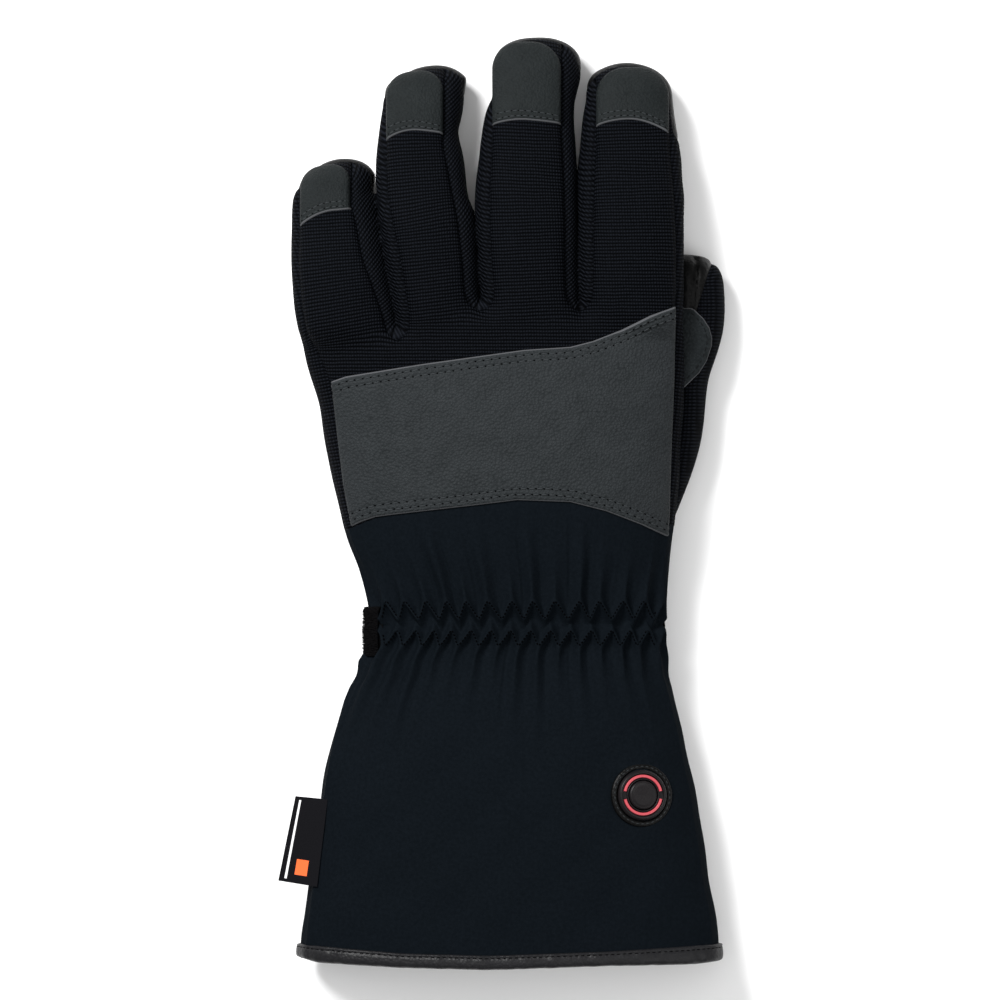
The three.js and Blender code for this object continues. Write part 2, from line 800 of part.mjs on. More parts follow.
function cuffSeamBlock(shift) {
  const stations = [cuffTopY, ...cuffStations(), hemY - 10].filter((y, index, all) => (
    index === 0 || y < all[index - 1] - 1
  ));
  return loft(stations.map((y) => {
    const section = bodySection(y);
    const high = section.middle + cuffSeam * (section.top - section.middle) + shift;
    return blockRing(-boxReach * 2, boxReach * 2, y, -40, high);
  }));
}

// Leather binding folded round the hem
function hemBinding() {
  const top = hemY + bindingWidth;
  const outer = cuffBody(gap + leather, plainSides, top, hemY);
  const hollow = cuffBody(-wall - gap - leather, innerCuffCount, top + 5, hemY - 5);
  const clothOut = cuffBody(gap, plainSides, top + 5, clothEdge - gap);
  const clothIn = cuffBody(-wall - gap, innerCuffCount, top + 5, clothEdge - gap - 1);
  return outer.subtract(hollow).subtract(clothOut.subtract(clothIn));
}

// Hook and loop strap round the palm side of the wrist
const strapClear = gatherDepth * 1.35 + gap;
const strapMiddle = wristY - 3.4;

function strapBand() {
  const high = strapMiddle + strapWidth / 2;
  const low = strapMiddle - strapWidth / 2;
  const band = (grow, reach) => loft([high + reach, strapMiddle, low - reach].map((y) => (
    bodyRing(y, grow, handCount)
  )));
  return band(strapClear + strapThickness, 0).subtract(band(strapClear, 5));
}

function strapCut(shift, left, right) {
  const section = bodySection(strapMiddle);
  const low = section.middle + shift;
  const outline = [
    { x: left, y: strapMiddle - strapWidth }, { x: right, y: strapMiddle - strapWidth },
    { x: right, y: strapMiddle + strapWidth }, { x: left, y: strapMiddle + strapWidth },
  ];
  return prism(outline, low, boxReach);
}

const strapRing = strapBand();
const wristHeight = bodySection(strapMiddle).top - bodySection(strapMiddle).middle;
const strap = strapRing.subtract(strapCut(0, -boxReach, boxReach));
const strapLoop = strapRing
  .intersect(strapCut(gap, -boxReach, 0))
  .subtract(strapCut(wristHeight * 0.45, -boxReach, boxReach));

// Folded label sewn into the little finger side of the cuff seam
function sideLabel() {
  const top = wristY - cuffLength * 0.505;
  const low = top - labelLength;
  const inner = (y) => {
    const section = bodySection(y);
    return section.x - section.half * (1 - cuffSeam ** bodySquare) ** (1 / bodySquare);
  };
  const outline = [
    { x: inner(top), y: top }, { x: inner(top) - labelWidth * 0.9, y: top + 1 },
    { x: inner(low) - labelWidth, y: low + 2 }, { x: inner(low), y: low },
  ];
  const section = bodySection((top + low) / 2);
  const seam = section.middle + cuffSeam * (section.top - section.middle);
  const slab = prism(outline, seam - labelThickness / 2, seam + labelThickness / 2);
  return slab.subtract(cuffBody(gap, plainSides, top + 10, low - 10));
}

// Heat button, set square to the cuff on the thumb side
const buttonAcross = 0.716;
const buttonY = wristY - cuffLength * 0.5;

function topPoint(across, y) {
  const section = bodySection(y);
  const up = (1 - Math.abs(across) ** bodySquare) ** (1 / bodySquare);
  const z = section.middle + (section.top - section.middle) * up;
  return new THREE.Vector3(section.x + across * section.half, y, z);
}

const button = new THREE.Group();
const buttonPlace = topPoint(buttonAcross, buttonY);
const alongSlope = topPoint(buttonAcross, buttonY + 1).sub(topPoint(buttonAcross, buttonY - 1));
const acrossSlope = topPoint(buttonAcross + 0.02, buttonY).sub(topPoint(buttonAcross - 0.02, buttonY));
const buttonNormal = acrossSlope.clone().cross(alongSlope).normalize();
const buttonUp = alongSlope.clone().normalize();
const buttonRight = buttonUp.clone().cross(buttonNormal);
button.matrix.makeBasis(buttonRight, buttonUp, buttonNormal).setPosition(buttonPlace);
button.matrix.decompose(button.position, button.quaternion, button.scale);

const seatDepth = 1.9;
const patchTop = 0.2;
const floorTop = -seatDepth + gap + 0.7;
const grooveFloor = bodyRise - 1.0;
const bevel = 0.5;

function ringProfile(inner, outer, low, high) {
  return [
    { radius: inner, height: low }, { radius: outer, height: low },
    { radius: outer, height: high }, { radius: inner, height: high },
    { radius: inner, height: low },
  ];
}

function seatCutter() {
  const geometry = new THREE.LatheGeometry([
    new THREE.Vector2(0, -seatDepth),
    new THREE.Vector2(patchRadius + gap, -seatDepth),
    new THREE.Vector2(patchRadius + gap, 20),
    new THREE.Vector2(0, 20),
  ], buttonSides);
  geometry.rotateX(Math.PI / 2);
  geometry.applyMatrix4(button.matrix);
  return solidOf(geometry);
}

const lightOuter = lightRadius;
const lightInner = lightRadius - lightWidth;
const wellRadius = capRadius + gap;

const buttonBody = turned([
  { radius: 0, height: -seatDepth + gap },
  { radius: bodyRadius, height: -seatDepth + gap },
  { radius: bodyRadius, height: bodyRise - bevel },
  { radius: bodyRadius - bevel, height: bodyRise },
  { radius: lightOuter + gap, height: bodyRise },
  { radius: lightOuter + gap, height: grooveFloor },
  { radius: lightInner - gap, height: grooveFloor },
  { radius: lightInner - gap, height: bodyRise },
  { radius: wellRadius, height: bodyRise },
  { radius: wellRadius, height: floorTop },
  { radius: 0, height: floorTop },
]);

const capBottom = floorTop + gap + capTravel;
const buttonCap = turned([
  { radius: 0, height: capBottom },
  { radius: capRadius, height: capBottom },
  { radius: capRadius, height: bodyRise },
  { radius: capRadius - bevel, height: bodyRise + bevel },
  { radius: 0, height: bodyRise + bevel },
]);

function lightArc(turn) {
  const opening = 0.32;
  const shape = new THREE.Shape();
  shape.absarc(0, 0, lightOuter, turn + opening, turn + Math.PI - opening, false);
  shape.absarc(0, 0, lightInner, turn + Math.PI - opening, turn + opening, true);
  shape.closePath();
  const low = grooveFloor + gap;
  const settings = { depth: bodyRise - low, bevelEnabled: false, curveSegments: 7 };
  const geometry = new THREE.ExtrudeGeometry(shape, settings);
  geometry.translate(0, 0, low);
  return solidOf(geometry);
}

const material = (name, color, roughness, metalness = 0) => {
  const made = new THREE.MeshStandardMaterial({ color, roughness, metalness });
  made.name = name;
  return made;
};

const ribbedCloth = material("ribbed_cloth", 0x0e1115, 0.85);
const greyLeather = material("grey_leather", 0x3a4144, 0.6);
const blackLeather = material("black_leather", 0x17181a, 0.5);
const softshell = material("softshell", 0x10151c, 0.8);
const webbing = material("webbing", 0x1a1b1d, 0.9);
const labelCloth = material("label_cloth", 0x101114, 0.75);
const buttonRubber = material("button_rubber", 0x121315, 0.4);
const redLight = material("red_light", 0xe1505c, 0.3);

const glove = new THREE.Group();

function addNode(name, solid, finish, holder = glove) {
  const mesh = biggest(solid).getMesh();
  const geometry = new THREE.BufferGeometry();
  const positions = new Float32Array(mesh.vertProperties);
  geometry.setAttribute("position", new THREE.BufferAttribute(positions, 3));
  geometry.setIndex(new THREE.BufferAttribute(new Uint32Array(mesh.triVerts), 1));
  const node = new THREE.Mesh(geometry, finish);
  node.name = name;
  holder.add(node);
}

addNode("palm_panel", palmPanel, blackLeather);
addNode("back_panel", backPanel, ribbedCloth);
for (const [name, first, second] of strips) {
  addNode(name, sideShell.intersect(sideRegion(first, second)), ribbedCloth);
}
for (const finger of fingers) {
  addNode(`fingertip_${finger.name}`, fingertipCap(finger), greyLeather);
}
addNode("knuckle_panel", knucklePanel(), greyLeather);
addNode("thumb_back", thumbShell.intersect(thumbBackBlock(-gap / 2)), ribbedCloth);
addNode("thumb_leather", thumbShell.subtract(thumbBackBlock(gap / 2)), blackLeather);
addNode("thumb_patch", thumbPatch(), greyLeather);
addNode("cuff_back", cuffShell.subtract(cuffSeamBlock(gap / 2)).subtract(seatCutter()), softshell);
addNode("cuff_palm", cuffShell.intersect(cuffSeamBlock(-gap / 2)), softshell);
addNode("hem_binding", hemBinding(), blackLeather);
addNode("wrist_strap", strap, webbing);
addNode("strap_loop", strapLoop, webbing);
addNode("side_label", sideLabel(), labelCloth);

glove.add(button);
const patchProfile = ringProfile(bodyRadius + gap, patchRadius, -seatDepth + gap, patchTop);
addNode("button_patch", turned(patchProfile), blackLeather, button);
addNode("button_body", buttonBody, buttonRubber, button);
addNode("button_light_upper", lightArc(0), redLight, button);
addNode("button_light_lower", lightArc(Math.PI), redLight, button);
addNode("button_cap", buttonCap, buttonRubber, button);

// The origin lies under the middle of the glove.
const bounds = new THREE.Box3().setFromObject(glove);
const middle = bounds.getCenter(new THREE.Vector3());
glove.position.set(-middle.x, -middle.y, 0);

export default glove;
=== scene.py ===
import math

import bpy
import numpy as np
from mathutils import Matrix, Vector
from mathutils.bvhtree import BVHTree


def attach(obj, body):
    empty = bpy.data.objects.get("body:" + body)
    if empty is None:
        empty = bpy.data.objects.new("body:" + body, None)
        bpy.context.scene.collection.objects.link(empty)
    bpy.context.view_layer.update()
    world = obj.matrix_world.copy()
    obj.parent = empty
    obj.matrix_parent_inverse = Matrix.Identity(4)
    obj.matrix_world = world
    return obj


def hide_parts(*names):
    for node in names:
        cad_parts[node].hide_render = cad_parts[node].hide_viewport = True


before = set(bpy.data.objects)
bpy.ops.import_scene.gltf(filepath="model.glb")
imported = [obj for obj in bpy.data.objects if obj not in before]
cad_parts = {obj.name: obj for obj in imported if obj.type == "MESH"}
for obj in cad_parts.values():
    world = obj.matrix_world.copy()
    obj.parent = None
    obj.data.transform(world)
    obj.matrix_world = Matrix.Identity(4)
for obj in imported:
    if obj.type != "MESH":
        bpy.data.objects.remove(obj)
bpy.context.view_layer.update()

# Padded heated glove for the left hand, lying palm down.
# Sizes are in millimetres from the wrist line, and a piece is moved to the row frame in metres
# when it is made. +Y points to the fingertips, +X to the thumb, +Z out of the back of the hand.
MM = 0.001
ORIGIN = np.array([-0.565, -43.0895, 0.0])

# Sizes of the hand, cuff, fingers and thumb
WALL = 3.8
PRESSED = 1.2
KNUCKLE_WIDTH = 137.0
WRIST_OFFSET = 5.0
KNUCKLE_OFFSET = -3.0
HAND_LENGTH = 114.0
PALM_TOP = 41.0
WRIST_TOP = 33.0
WRIST_LIFT = 6.5
KNUCKLE_LIFT = 14.0
CUFF_LENGTH = 124.0
CUFF_TOP = 39.0
FINGER_HEIGHT = 27.0
FINGER_RISE = 27.0
ROOT_LENGTH = 34.0
TIP_ROUND = 12.0
TIP_LEATHER = -0.7
THUMB_LENGTH = 113.0
THUMB_WIDTH = 26.0
THUMB_HEIGHT = 23.0
THUMB_ROOT = 18.0
PALM_EDGE = KNUCKLE_OFFSET + KNUCKLE_WIDTH / 2
BODY_END = 0.97 * HAND_LENGTH
# Powers of the ovals, the height of their widest place as a share, and the round at the floor
BODY_SQUARE = 2.35
BODY_SQUARE_LOW = 3.2
BODY_MIDDLE = 0.46
FINGER_SQUARE = 2.3
FLOOR_ROUND = 1.5
# Heights of the side seams as shares from the middle down or up
PALM_SEAM = 0.32
CUFF_SIDE_SEAM = 0.35
# Place and bow of the seam between the hand and the cuff as shares of the hand length
SEAM_RISE, SEAM_BOW = 0.41, 0.22
# Step and corners of the nets, and the pitch of the ribs and of the threads in them
NET_STEP = 0.9
HAND_BOX = ((-78, 14, -1.5), (70, 216, 46))
THUMB_BOX = ((38, 12, -1.5), (84, 138, 27))
RIB_PITCH = 1.24
THREAD_PITCH = 1.0


def table(names, rows):
    return {name: np.array([row[i] for row in rows], float) for i, name in enumerate(names.split())}


HAND = table("along waist arch top", [
    (-0.02, 1.00, 0.00, 0.00),
    (0.12, 0.62, 0.00, 0.16),
    (0.21, 0.25, 0.00, 0.42),
    (0.31, 0.00, 0.00, 0.64),
    (0.41, 0.00, 0.02, 0.80),
    (0.55, 0.00, 0.14, 0.94),
    (0.69, 0.00, 0.42, 1.00),
    (0.83, 0.00, 0.80, 0.97),
    (0.91, 0.00, 0.96, 0.90),
    (0.96, 0.00, 1.00, 0.86),
])
CUFF = table("along waist top", [
    (-0.04, 1.00, 0.00),
    (0.07, 0.92, 0.10),
    (0.15, 0.66, 0.32),
    (0.24, 0.32, 0.62),
    (0.37, 0.04, 0.88),
    (0.50, 0.00, 1.00),
    (0.63, 0.00, 1.02),
    (0.76, 0.00, 1.00),
    (0.93, 0.00, 0.94),
    (1.05, 0.00, 0.90),
])
FINGER_ROWS = table("along height lift", [
    (-1.00, 0.70, 0.62),
    (-0.50, 0.90, 0.88),
    (0.00, 1.00, 1.00),
    (0.33, 0.99, 0.90),
    (0.66, 0.90, 0.46),
    (1.00, 0.84, 0.00),
])
THUMB_ROWS = table("along out width height", [
    (0.00, -0.86, 0.66, 0.80),
    (0.12, -0.66, 0.84, 0.92),
    (0.25, -0.48, 0.94, 1.00),
    (0.43, -0.25, 1.00, 1.02),
    (0.63, -0.14, 1.00, 1.00),
    (0.80, 0.07, 1.00, 0.96),
    (1.00, 0.09, 0.92, 0.92),
])
# crotch is a share of the hand length, lean tilts the round end to one side, tip is the power of
# its roundness, and hem is the leather cap's lower edge at the finger's left, middle and right
# as shares of its length
FINGERS = [
    dict(name="little", length=61, crotch=0.925,
         lean=0.26, tip=2.0, hem=(0.58, 0.70, 0.74)),
    dict(name="ring", length=89, crotch=0.975,
         lean=0.20, tip=2.0, hem=(0.68, 0.74, 0.72)),
    dict(name="middle", length=95, crotch=1.010,
         lean=0.14, tip=2.5, hem=(0.65, 0.69, 0.68)),
    dict(name="index", length=87, crotch=1.000,
         lean=0.00, tip=2.1, hem=(0.72, 0.77, 0.68)),
]
# Seams on the back of the hand as (x, y), from the tips down
SEAMS = {
    "little_left": [(-73.6, 140.7), (-73.6, 126.0), (-70.7, 104.7), (-66.1, 95.4), (-60.5, 80.0),
                    (-57.0, 60.0), (-54.5, 40.0), (-54.5, 20.0)],
    "little_right": [(-53.5, 150.1), (-51.7, 144.0), (-49.1, 131.4), (-45.2, 120.6), (-41.6, 110.1),
                     (-40.0, 102.0)],
    "ring_left": [(-42.7, 173.5), (-42.3, 155.5), (-39.4, 139.3), (-37.3, 129.6), (-35.5, 118.1),
                  (-34.4, 110.1), (-34.6, 102.0)],
    "ring_right": [(-20.0, 171.3), (-17.8, 159.8), (-15.3, 147.2), (-13.5, 133.9), (-12.4, 120.6),
                   (-11.4, 113.0)],
    "middle_left": [(-4.5, 170.6), (-5.2, 153.7), (-4.9, 130.0), (-3.8, 118.0), (-3.6, 113.0)],
    "middle_right": [(22.5, 176.4), (23.2, 165.2), (23.6, 151.9), (23.9, 130.0), (24.4, 113.0)],
    "index_left": [(32.9, 168.1), (32.2, 151.9), (31.8, 130.0), (31.4, 113.0)],
    "index_right": [(61.4, 185.0), (61.4, 170.0), (63.0, 150.0), (63.6, 130.0), (63.2, 112.0),
                    (61.9, 80.0), (60.8, 50.0), (60.0, 30.0), (59.6, 20.0)],
}
# Edges seen from above as (y, left, right), from the tips to the hem
FINGER_EDGES = {
    "little": [(163.4, -72.7, -44.3), (159.1, -73.7, -45.4), (154.8, -75.1, -45.4), (141.8, -75.8, -43.3),
               (128.5, -75.6, -41.5), (115.9, -74.7, -39.0), (100.0, -71.5, -36.4)],
    "ring": [(198.0, -41.0, -10.2), (193.7, -43.1, -12.7), (185.0, -43.7, -13.9), (176.4, -44.5, -15.3),
             (163.4, -45.5, -13.1), (150.5, -44.7, -11.7), (142.9, -43.7, -9.4), (128.5, -41.7, -8.3),
             (108.0, -38.0, -7.1)],
    "middle": [(206.6, -2.9, 29.1), (198.0, -3.4, 28.6), (189.3, -4.5, 26.5), (180.7, -6.3, 26.1),
               (167.7, -8.1, 27.0), (154.8, -9.5, 27.2), (142.9, -9.3, 27.4), (108.0, -7.2, 28.3)],
    "index": [(198.0, 29.7, 61.1), (189.3, 30.4, 61.7), (180.7, 29.3, 62.5), (167.7, 27.9, 64.6),
              (159.1, 27.1, 65.0), (150.5, 27.1, 65.7), (108.0, 28.0, 65.3)],
}
BODY_EDGES = [
    (110.5, -72.5, 65.7), (94.3, -70.4, 65.7), (78.1, -65.7, 65.6), (61.9, -63.2, 64.6),
    (45.7, -59.6, 63.5), (29.5, -55.6, 61.6), (18.7, -50.9, 59.9), (7.9, -47.0, 58.1), (-2.9, -45.2, 58.1),
    (-8.3, -46.4, 57.8), (-13.7, -49.6, 58.9), (-19.1, -51.4, 59.6), (-24.5, -54.2, 61.4),
    (-40.7, -60.3, 65.7), (-62.3, -65.0, 69.7), (-89.3, -68.7, 74.3),
    (-110.9, -72.1, 77.9), (-124.0, -72.3, 78.5),
]
# Strip of cloth between two fingers: its name, the seams at its sides, its lowest place and the
# turn of its ribs in radians
STRIPS = [
    ("little_ring", "little_right", "ring_left", 102.2, 0.6),
    ("ring_middle", "ring_right", "middle_left", 113.0, 0.5),
    ("middle_index", "middle_right", "index_left", 113.0, 0.5),
]
STRIP_TURN = 6.0
# Line through the crotches as places across and along
CROTCH_LINE = ((-75, -38, -7.4, 28, 66), (103, 105, 114, 112.5, 106))
PANEL = [
    (-61.5, 85.8), (-55.6, 87.8), (-28.6, 92.1), (8.1, 97.2), (24.7, 98.3), (32.9, 100.4),
    (43.0, 104.4), (53.1, 109.4), (63.0, 113.0), (62.5, 87.1), (61.4, 58.3), (60.6, 30.7),
    (49.9, 35.6), (37.6, 40.3), (24.7, 43.6), (5.6, 44.3), (-8.1, 42.6), (-40.5, 38.9),
    (-45.4, 38.2), (-50.2, 36.6), (-54.6, 34.5), (-57.4, 50.0), (-59.6, 68.4),
]
# Distances of the stitch rows in from the cut edges
PANEL_ROWS = (1.45, 3.6)
CAP_ROWS = (1.1, 2.9)
# The caps: lowest place as a share of the finger's half height, distance in from the seams and
# from the tip, and round corners as a share of the half width
CAP_LOW, CAP_INSET, CAP_END, CAP_CORNER = 0.1, 0.7, 1.5, 0.82
PANEL_TOP = PANEL[:9]
PANEL_BOTTOM = PANEL[11:21]
# Side seam that shows along the little finger side of the cuff
CUFF_SEAM = [(-51.5, -14.0), (-55.6, -28.1), (-59.6, -43.6), (-62.8, -63.4),
             (-66.4, -95.4), (-68.9, -116.0)]
THUMB_PATCH = [
    (64.3, 112.9), (68.9, 112.3), (72.2, 109.1), (74.3, 105.8), (75.2, 102.2), (75.1, 99.7),
    (73.3, 94.3), (70.7, 90.0), (65.7, 84.9), (64.3, 84.6),
]


def mix(a, b, share):
    return a + (b - a) * share


def smooth_step(low, high, value):
    share = np.clip((value - low) / (high - low), 0, 1)
    return share * share * (3 - 2 * share)


def curve(places, values, at):
    """Smooth curve through the values at their places, read at any place."""
    if places[0] > places[-1]:
        places, values = places[::-1], values[::-1]
    at = np.asarray(at, float)
    here = np.clip(np.searchsorted(places, at, side="left") - 1, 0, len(places) - 2)
    before = np.maximum(here - 1, 0)
    after = np.minimum(here + 2, len(places) - 1)
    span = places[here + 1] - places[here]
    share = np.clip((at - places[here]) / span, 0, 1)
    slope = (values[here + 1] - values[before]) / (places[here + 1] - places[before]) * span
    slope_next = (values[after] - values[here]) / (places[after] - places[here]) * span
    squared = share * share
    cubed = squared * share
    return ((2 * cubed - 3 * squared + 1) * values[here] + (cubed - 2 * squared + share) * slope
            + (3 * squared - 2 * cubed) * values[here + 1] + (cubed - squared) * slope_next)


def row(rows, name, at):
    return curve(rows["along"], rows[name], at)


def seam_x(name, y):
    """Place across of a seam on the back, at a place along."""
    points = np.array(SEAMS[name])[::-1]
    return curve(points[:, 1], points[:, 0], y)


BODY_ROWS = np.array(BODY_EDGES[::-1])
EDGE_ROWS = {name: np.array(rows[::-1]) for name, rows in FINGER_EDGES.items()}


def section(y):
    """Middle across, half width, middle height, top and bottom of the glove at a place along."""
    y = np.asarray(y, float)
    hand = y / HAND_LENGTH
    cuff = -y / CUFF_LENGTH
    on_hand = y >= 0
    left, right = (curve(BODY_ROWS[:, 0], BODY_ROWS[:, i], y) for i in (1, 2))
    lift = np.where(
        on_hand, WRIST_LIFT * row(HAND, "waist", hand) + KNUCKLE_LIFT * row(HAND, "arch", hand),
        WRIST_LIFT * row(CUFF, "waist", cuff))
    top = np.where(
        on_hand, mix(WRIST_TOP, PALM_TOP, row(HAND, "top", hand)),
        mix(WRIST_TOP, CUFF_TOP, row(CUFF, "top", cuff)))
    bottom = lift - PRESSED
    middle = mix(bottom, top, BODY_MIDDLE)
    return (left + right) / 2, (right - left) / 2, middle, top, bottom


def around(place, angle, grow):
    """Places across and heights round the glove's section at a place along, grown outward."""
    x, half, middle, top, bottom = (float(v) for v in section(place))
    sine, cosine = np.sin(angle), np.cos(angle)
    low = sine < 0
    power = 2 / np.where(low, BODY_SQUARE_LOW, BODY_SQUARE)
    across = (half + grow) * np.sign(cosine) * np.abs(cosine) ** power
    up = np.abs(sine) ** power
    height = np.where(low, middle - (middle - bottom + grow) * up, middle + (top + grow - middle) * up)
    return x + across, height


def smooth_min(a, b, size):
    """The lesser of two distances, with a round blend between them."""
    share = np.clip(0.5 + 0.5 * (b - a) / size, 0, 1)
    return mix(b, a, share) - size * share * (1 - share)


def smooth_max(a, b, size):
    return -smooth_min(-a, -b, size)


def oval_distance(across, up, half, height, square, beyond=0.0, round_length=1.0, tip_square=2.0):
    """Distance from a flattened oval tube with a round end, below zero inside it."""
    a = np.abs(across) / half
    b = np.abs(up) / height
    flat = np.maximum((a ** square + b ** square) ** (1 / square), 0.05)
    c = np.maximum(beyond, 0) / round_length
    whole = (flat ** tip_square + c ** tip_square) ** (1 / tip_square)
    slope_a = (a / flat) ** (square - 1) / half
    slope_b = (b / flat) ** (square - 1) / height
    turn = tip_square - 1
    slope = np.sqrt((slope_a ** 2 + slope_b ** 2) * (flat / whole) ** (2 * turn)
                    + ((c / whole) ** turn / round_length) ** 2)
    return (whole - 1) / slope


def finger_axis(finger, along):
    """Place, half width and half height of a finger's axis."""
    along = np.asarray(along, float)
    y = HAND_LENGTH * finger["crotch"] + np.where(along > 0, along * finger["length"], along * ROOT_LENGTH)
    rows = EDGE_ROWS[finger["name"]]
    left, right = (curve(rows[:, 0], rows[:, i], y) for i in (1, 2))
    ahead = np.maximum(along, 0)
    half_height = FINGER_HEIGHT / 2 * row(FINGER_ROWS, "height", ahead)
    rest = FINGER_HEIGHT / 2 * FINGER_ROWS["height"][-1] - PRESSED
    z = mix(rest, FINGER_RISE, row(FINGER_ROWS, "lift", ahead))
    return (left + right) / 2, y, z, (right - left) / 2, half_height


def thumb_axis(along):
    half_height = THUMB_HEIGHT / 2 * row(THUMB_ROWS, "height", along)
    x = PALM_EDGE + THUMB_WIDTH * row(THUMB_ROWS, "out", along)
    y = THUMB_ROOT + THUMB_LENGTH * along
    return x, y, half_height - PRESSED, THUMB_WIDTH / 2 * row(THUMB_ROWS, "width", along), half_height


def tube_place(axis, along_of, x, y):
    """Share along a tube and distance across it of places seen from above."""
    along = along_of(y)
    for _ in range(2):
        here = axis(along)
        ahead = axis(np.minimum(along + 0.06, 0.9))
        behind = axis(np.minimum(along + 0.06, 0.9) - 0.12)
        slope = (ahead[0] - behind[0]) / (ahead[1] - behind[1])
        nearest = y + slope * (x - here[0]) / (1 + slope * slope)
        along = along_of(nearest)
    here = axis(along)
    size = np.sqrt(1 + slope * slope)
    return along, ((x - here[0]) - (y - here[1]) * slope) / size, here


def finger_place(finger, x, y):
    base = HAND_LENGTH * finger["crotch"]

    def along_of(place):
        return np.where(place > base, (place - base) / finger["length"], (place - base) / ROOT_LENGTH)

    return tube_place(lambda along: finger_axis(finger, along), along_of, x, y)


def thumb_place(x, y):
    return tube_place(thumb_axis, lambda place: (place - THUMB_ROOT) / THUMB_LENGTH, x, y)


def fingers_distance(x, y, z):
    found = None
    for finger in FINGERS:
        along, across, (_, _, middle, half, height) = finger_place(finger, x, y)
        end = finger["length"] - TIP_LEATHER
        beyond = along * finger["length"] - (end - TIP_ROUND) - finger["lean"] * across
        near = oval_distance(across, z - middle, half, height, FINGER_SQUARE, beyond, TIP_ROUND,
                             finger["tip"])
        found = near if found is None else np.minimum(found, near)
    return found


def body_distance(x, y, z):
    middle_x, half, middle, top, bottom = section(np.minimum(y, BODY_END))
    up = z - middle
    high = oval_distance(x - middle_x, up, half, top - middle, BODY_SQUARE)
    low = oval_distance(x - middle_x, up, half, middle - bottom, BODY_SQUARE_LOW)
    return np.where(up > 0, high, low)


def hand_distance(x, y, z):
    """The hand turns into fingers along a line through the crotches."""
    crotch = np.interp(x, *CROTCH_LINE)
    share = smooth_step(crotch - 8, crotch + 3, y)
    whole = mix(body_distance(x, y, z), fingers_distance(x, y, z), share)
    return smooth_max(whole, -z, FLOOR_ROUND)


def thumb_distance(x, y, z):
    along, across, (_, _, middle, half, height) = thumb_place(x, y)
    place = along * THUMB_LENGTH
    beyond = np.maximum(place - (THUMB_LENGTH + 1.4 - TIP_ROUND), TIP_ROUND - place)
    near = oval_distance(across, z - middle, half, height, FINGER_SQUARE, beyond, TIP_ROUND, 2.8)
    return smooth_max(np.maximum(near, -place), -z, FLOOR_ROUND)


def surface_net(distance, low, high, step):
    """Four-sided net over the surface where a distance is zero."""
    axes = [np.arange(low[i], high[i] + step, step) for i in range(3)]
    value = distance(axes[0][:, None, None], axes[1][None, :, None], axes[2][None, None, :])
    inside = value < 0
    size = [n - 1 for n in value.shape]
    count = np.zeros(size, int)
    corners = [(i, j, k) for i in (0, 1) for j in (0, 1) for k in (0, 1)]
    for i, j, k in corners:
        count += inside[i:i + size[0], j:j + size[1], k:k + size[2]]
    mixed = np.nonzero((count > 0) & (count < 8))
    number = np.full(size, -1)
    number[mixed] = np.arange(len(mixed[0]))
    at = {c: value[mixed[0] + c[0], mixed[1] + c[1], mixed[2] + c[2]] for c in corners}
    total = np.zeros((len(mixed[0]), 3))
    hits = np.zeros(len(mixed[0]))
    for a in corners:
        for axis in range(3):
            if a[axis] == 0:
                b = tuple(1 if i == axis else a[i] for i in range(3))
                crossed = (at[a] < 0) != (at[b] < 0)
                share = np.where(crossed, at[a] / np.where(crossed, at[a] - at[b], 1), 0)
                place = np.tile(np.array(a, float), (len(hits), 1))
                place[:, axis] += share
                total += place * crossed[:, None]
                hits += crossed
    points = np.stack(mixed, 1) + total / hits[:, None]
    points = points * step + np.array(low)
    quads = []
    for axis in range(3):
        one, two = (axis + 1) % 3, (axis + 2) % 3
        first = np.take(inside, np.arange(size[axis]), axis)
        second = np.take(inside, np.arange(1, size[axis] + 1), axis)
        where = np.argwhere(first != second)
        keep = ((where[:, one] > 0) & (where[:, two] > 0)
                & (where[:, one] < size[one]) & (where[:, two] < size[two]))
        where = where[keep]
        ring = []
        for step_one, step_two in ((-1, -1), (0, -1), (0, 0), (-1, 0)):
            cell = where.copy()
            cell[:, one] += step_one
            cell[:, two] += step_two
            ring.append(number[cell[:, 0], cell[:, 1], cell[:, 2]])
        quad = np.stack(ring, 1)
        flip = ~first[where[:, 0], where[:, 1], where[:, 2]]
        quad[flip] = quad[flip][:, ::-1]
        quads.append(quad)
    quads = np.concatenate(quads)
    quads = quads[(quads >= 0).all(1)]
    return points, quads


def triangles_of(quads):
    return np.concatenate([quads[:, [0, 1, 2]], quads[:, [0, 2, 3]]])


def steepest(distance, points, reach=0.15):
    """Direction in which a distance grows."""
    moved = []
    for axis in range(3):
        shift = np.zeros(3)
        shift[axis] = reach
        ahead, behind = points + shift, points - shift
        moved.append(distance(*ahead.T) - distance(*behind.T))
    return np.stack(moved, 1) / (2 * reach)


def settle(distance, points, rounds=2):
    """Moves points on to the surface and gives the directions out of it."""
    for _ in range(rounds):
        way = steepest(distance, points)
        size = np.maximum((way ** 2).sum(1), 0.2)
        points = points - way * (np.clip(distance(*points.T), -0.6, 0.6) / size)[:, None]
    way = steepest(distance, points)
    return points, way / np.linalg.norm(way, axis=1)[:, None]


def refine(points, faces):
    """Splits every triangle into four."""
    edges = np.sort(np.concatenate([faces[:, [0, 1]], faces[:, [1, 2]], faces[:, [2, 0]]]), 1)
    unique, back = np.unique(edges, axis=0, return_inverse=True)
    back = back.reshape(3, -1) + len(points)
    middle = (points[unique[:, 0]] + points[unique[:, 1]]) / 2
    a, b, c = faces.T
    ab, bc, ca = back
    parts = [(a, ab, ca), (b, bc, ab), (c, ca, bc), (ab, bc, ca)]
    return np.concatenate([points, middle]), np.concatenate([np.stack(p, 1) for p in parts])


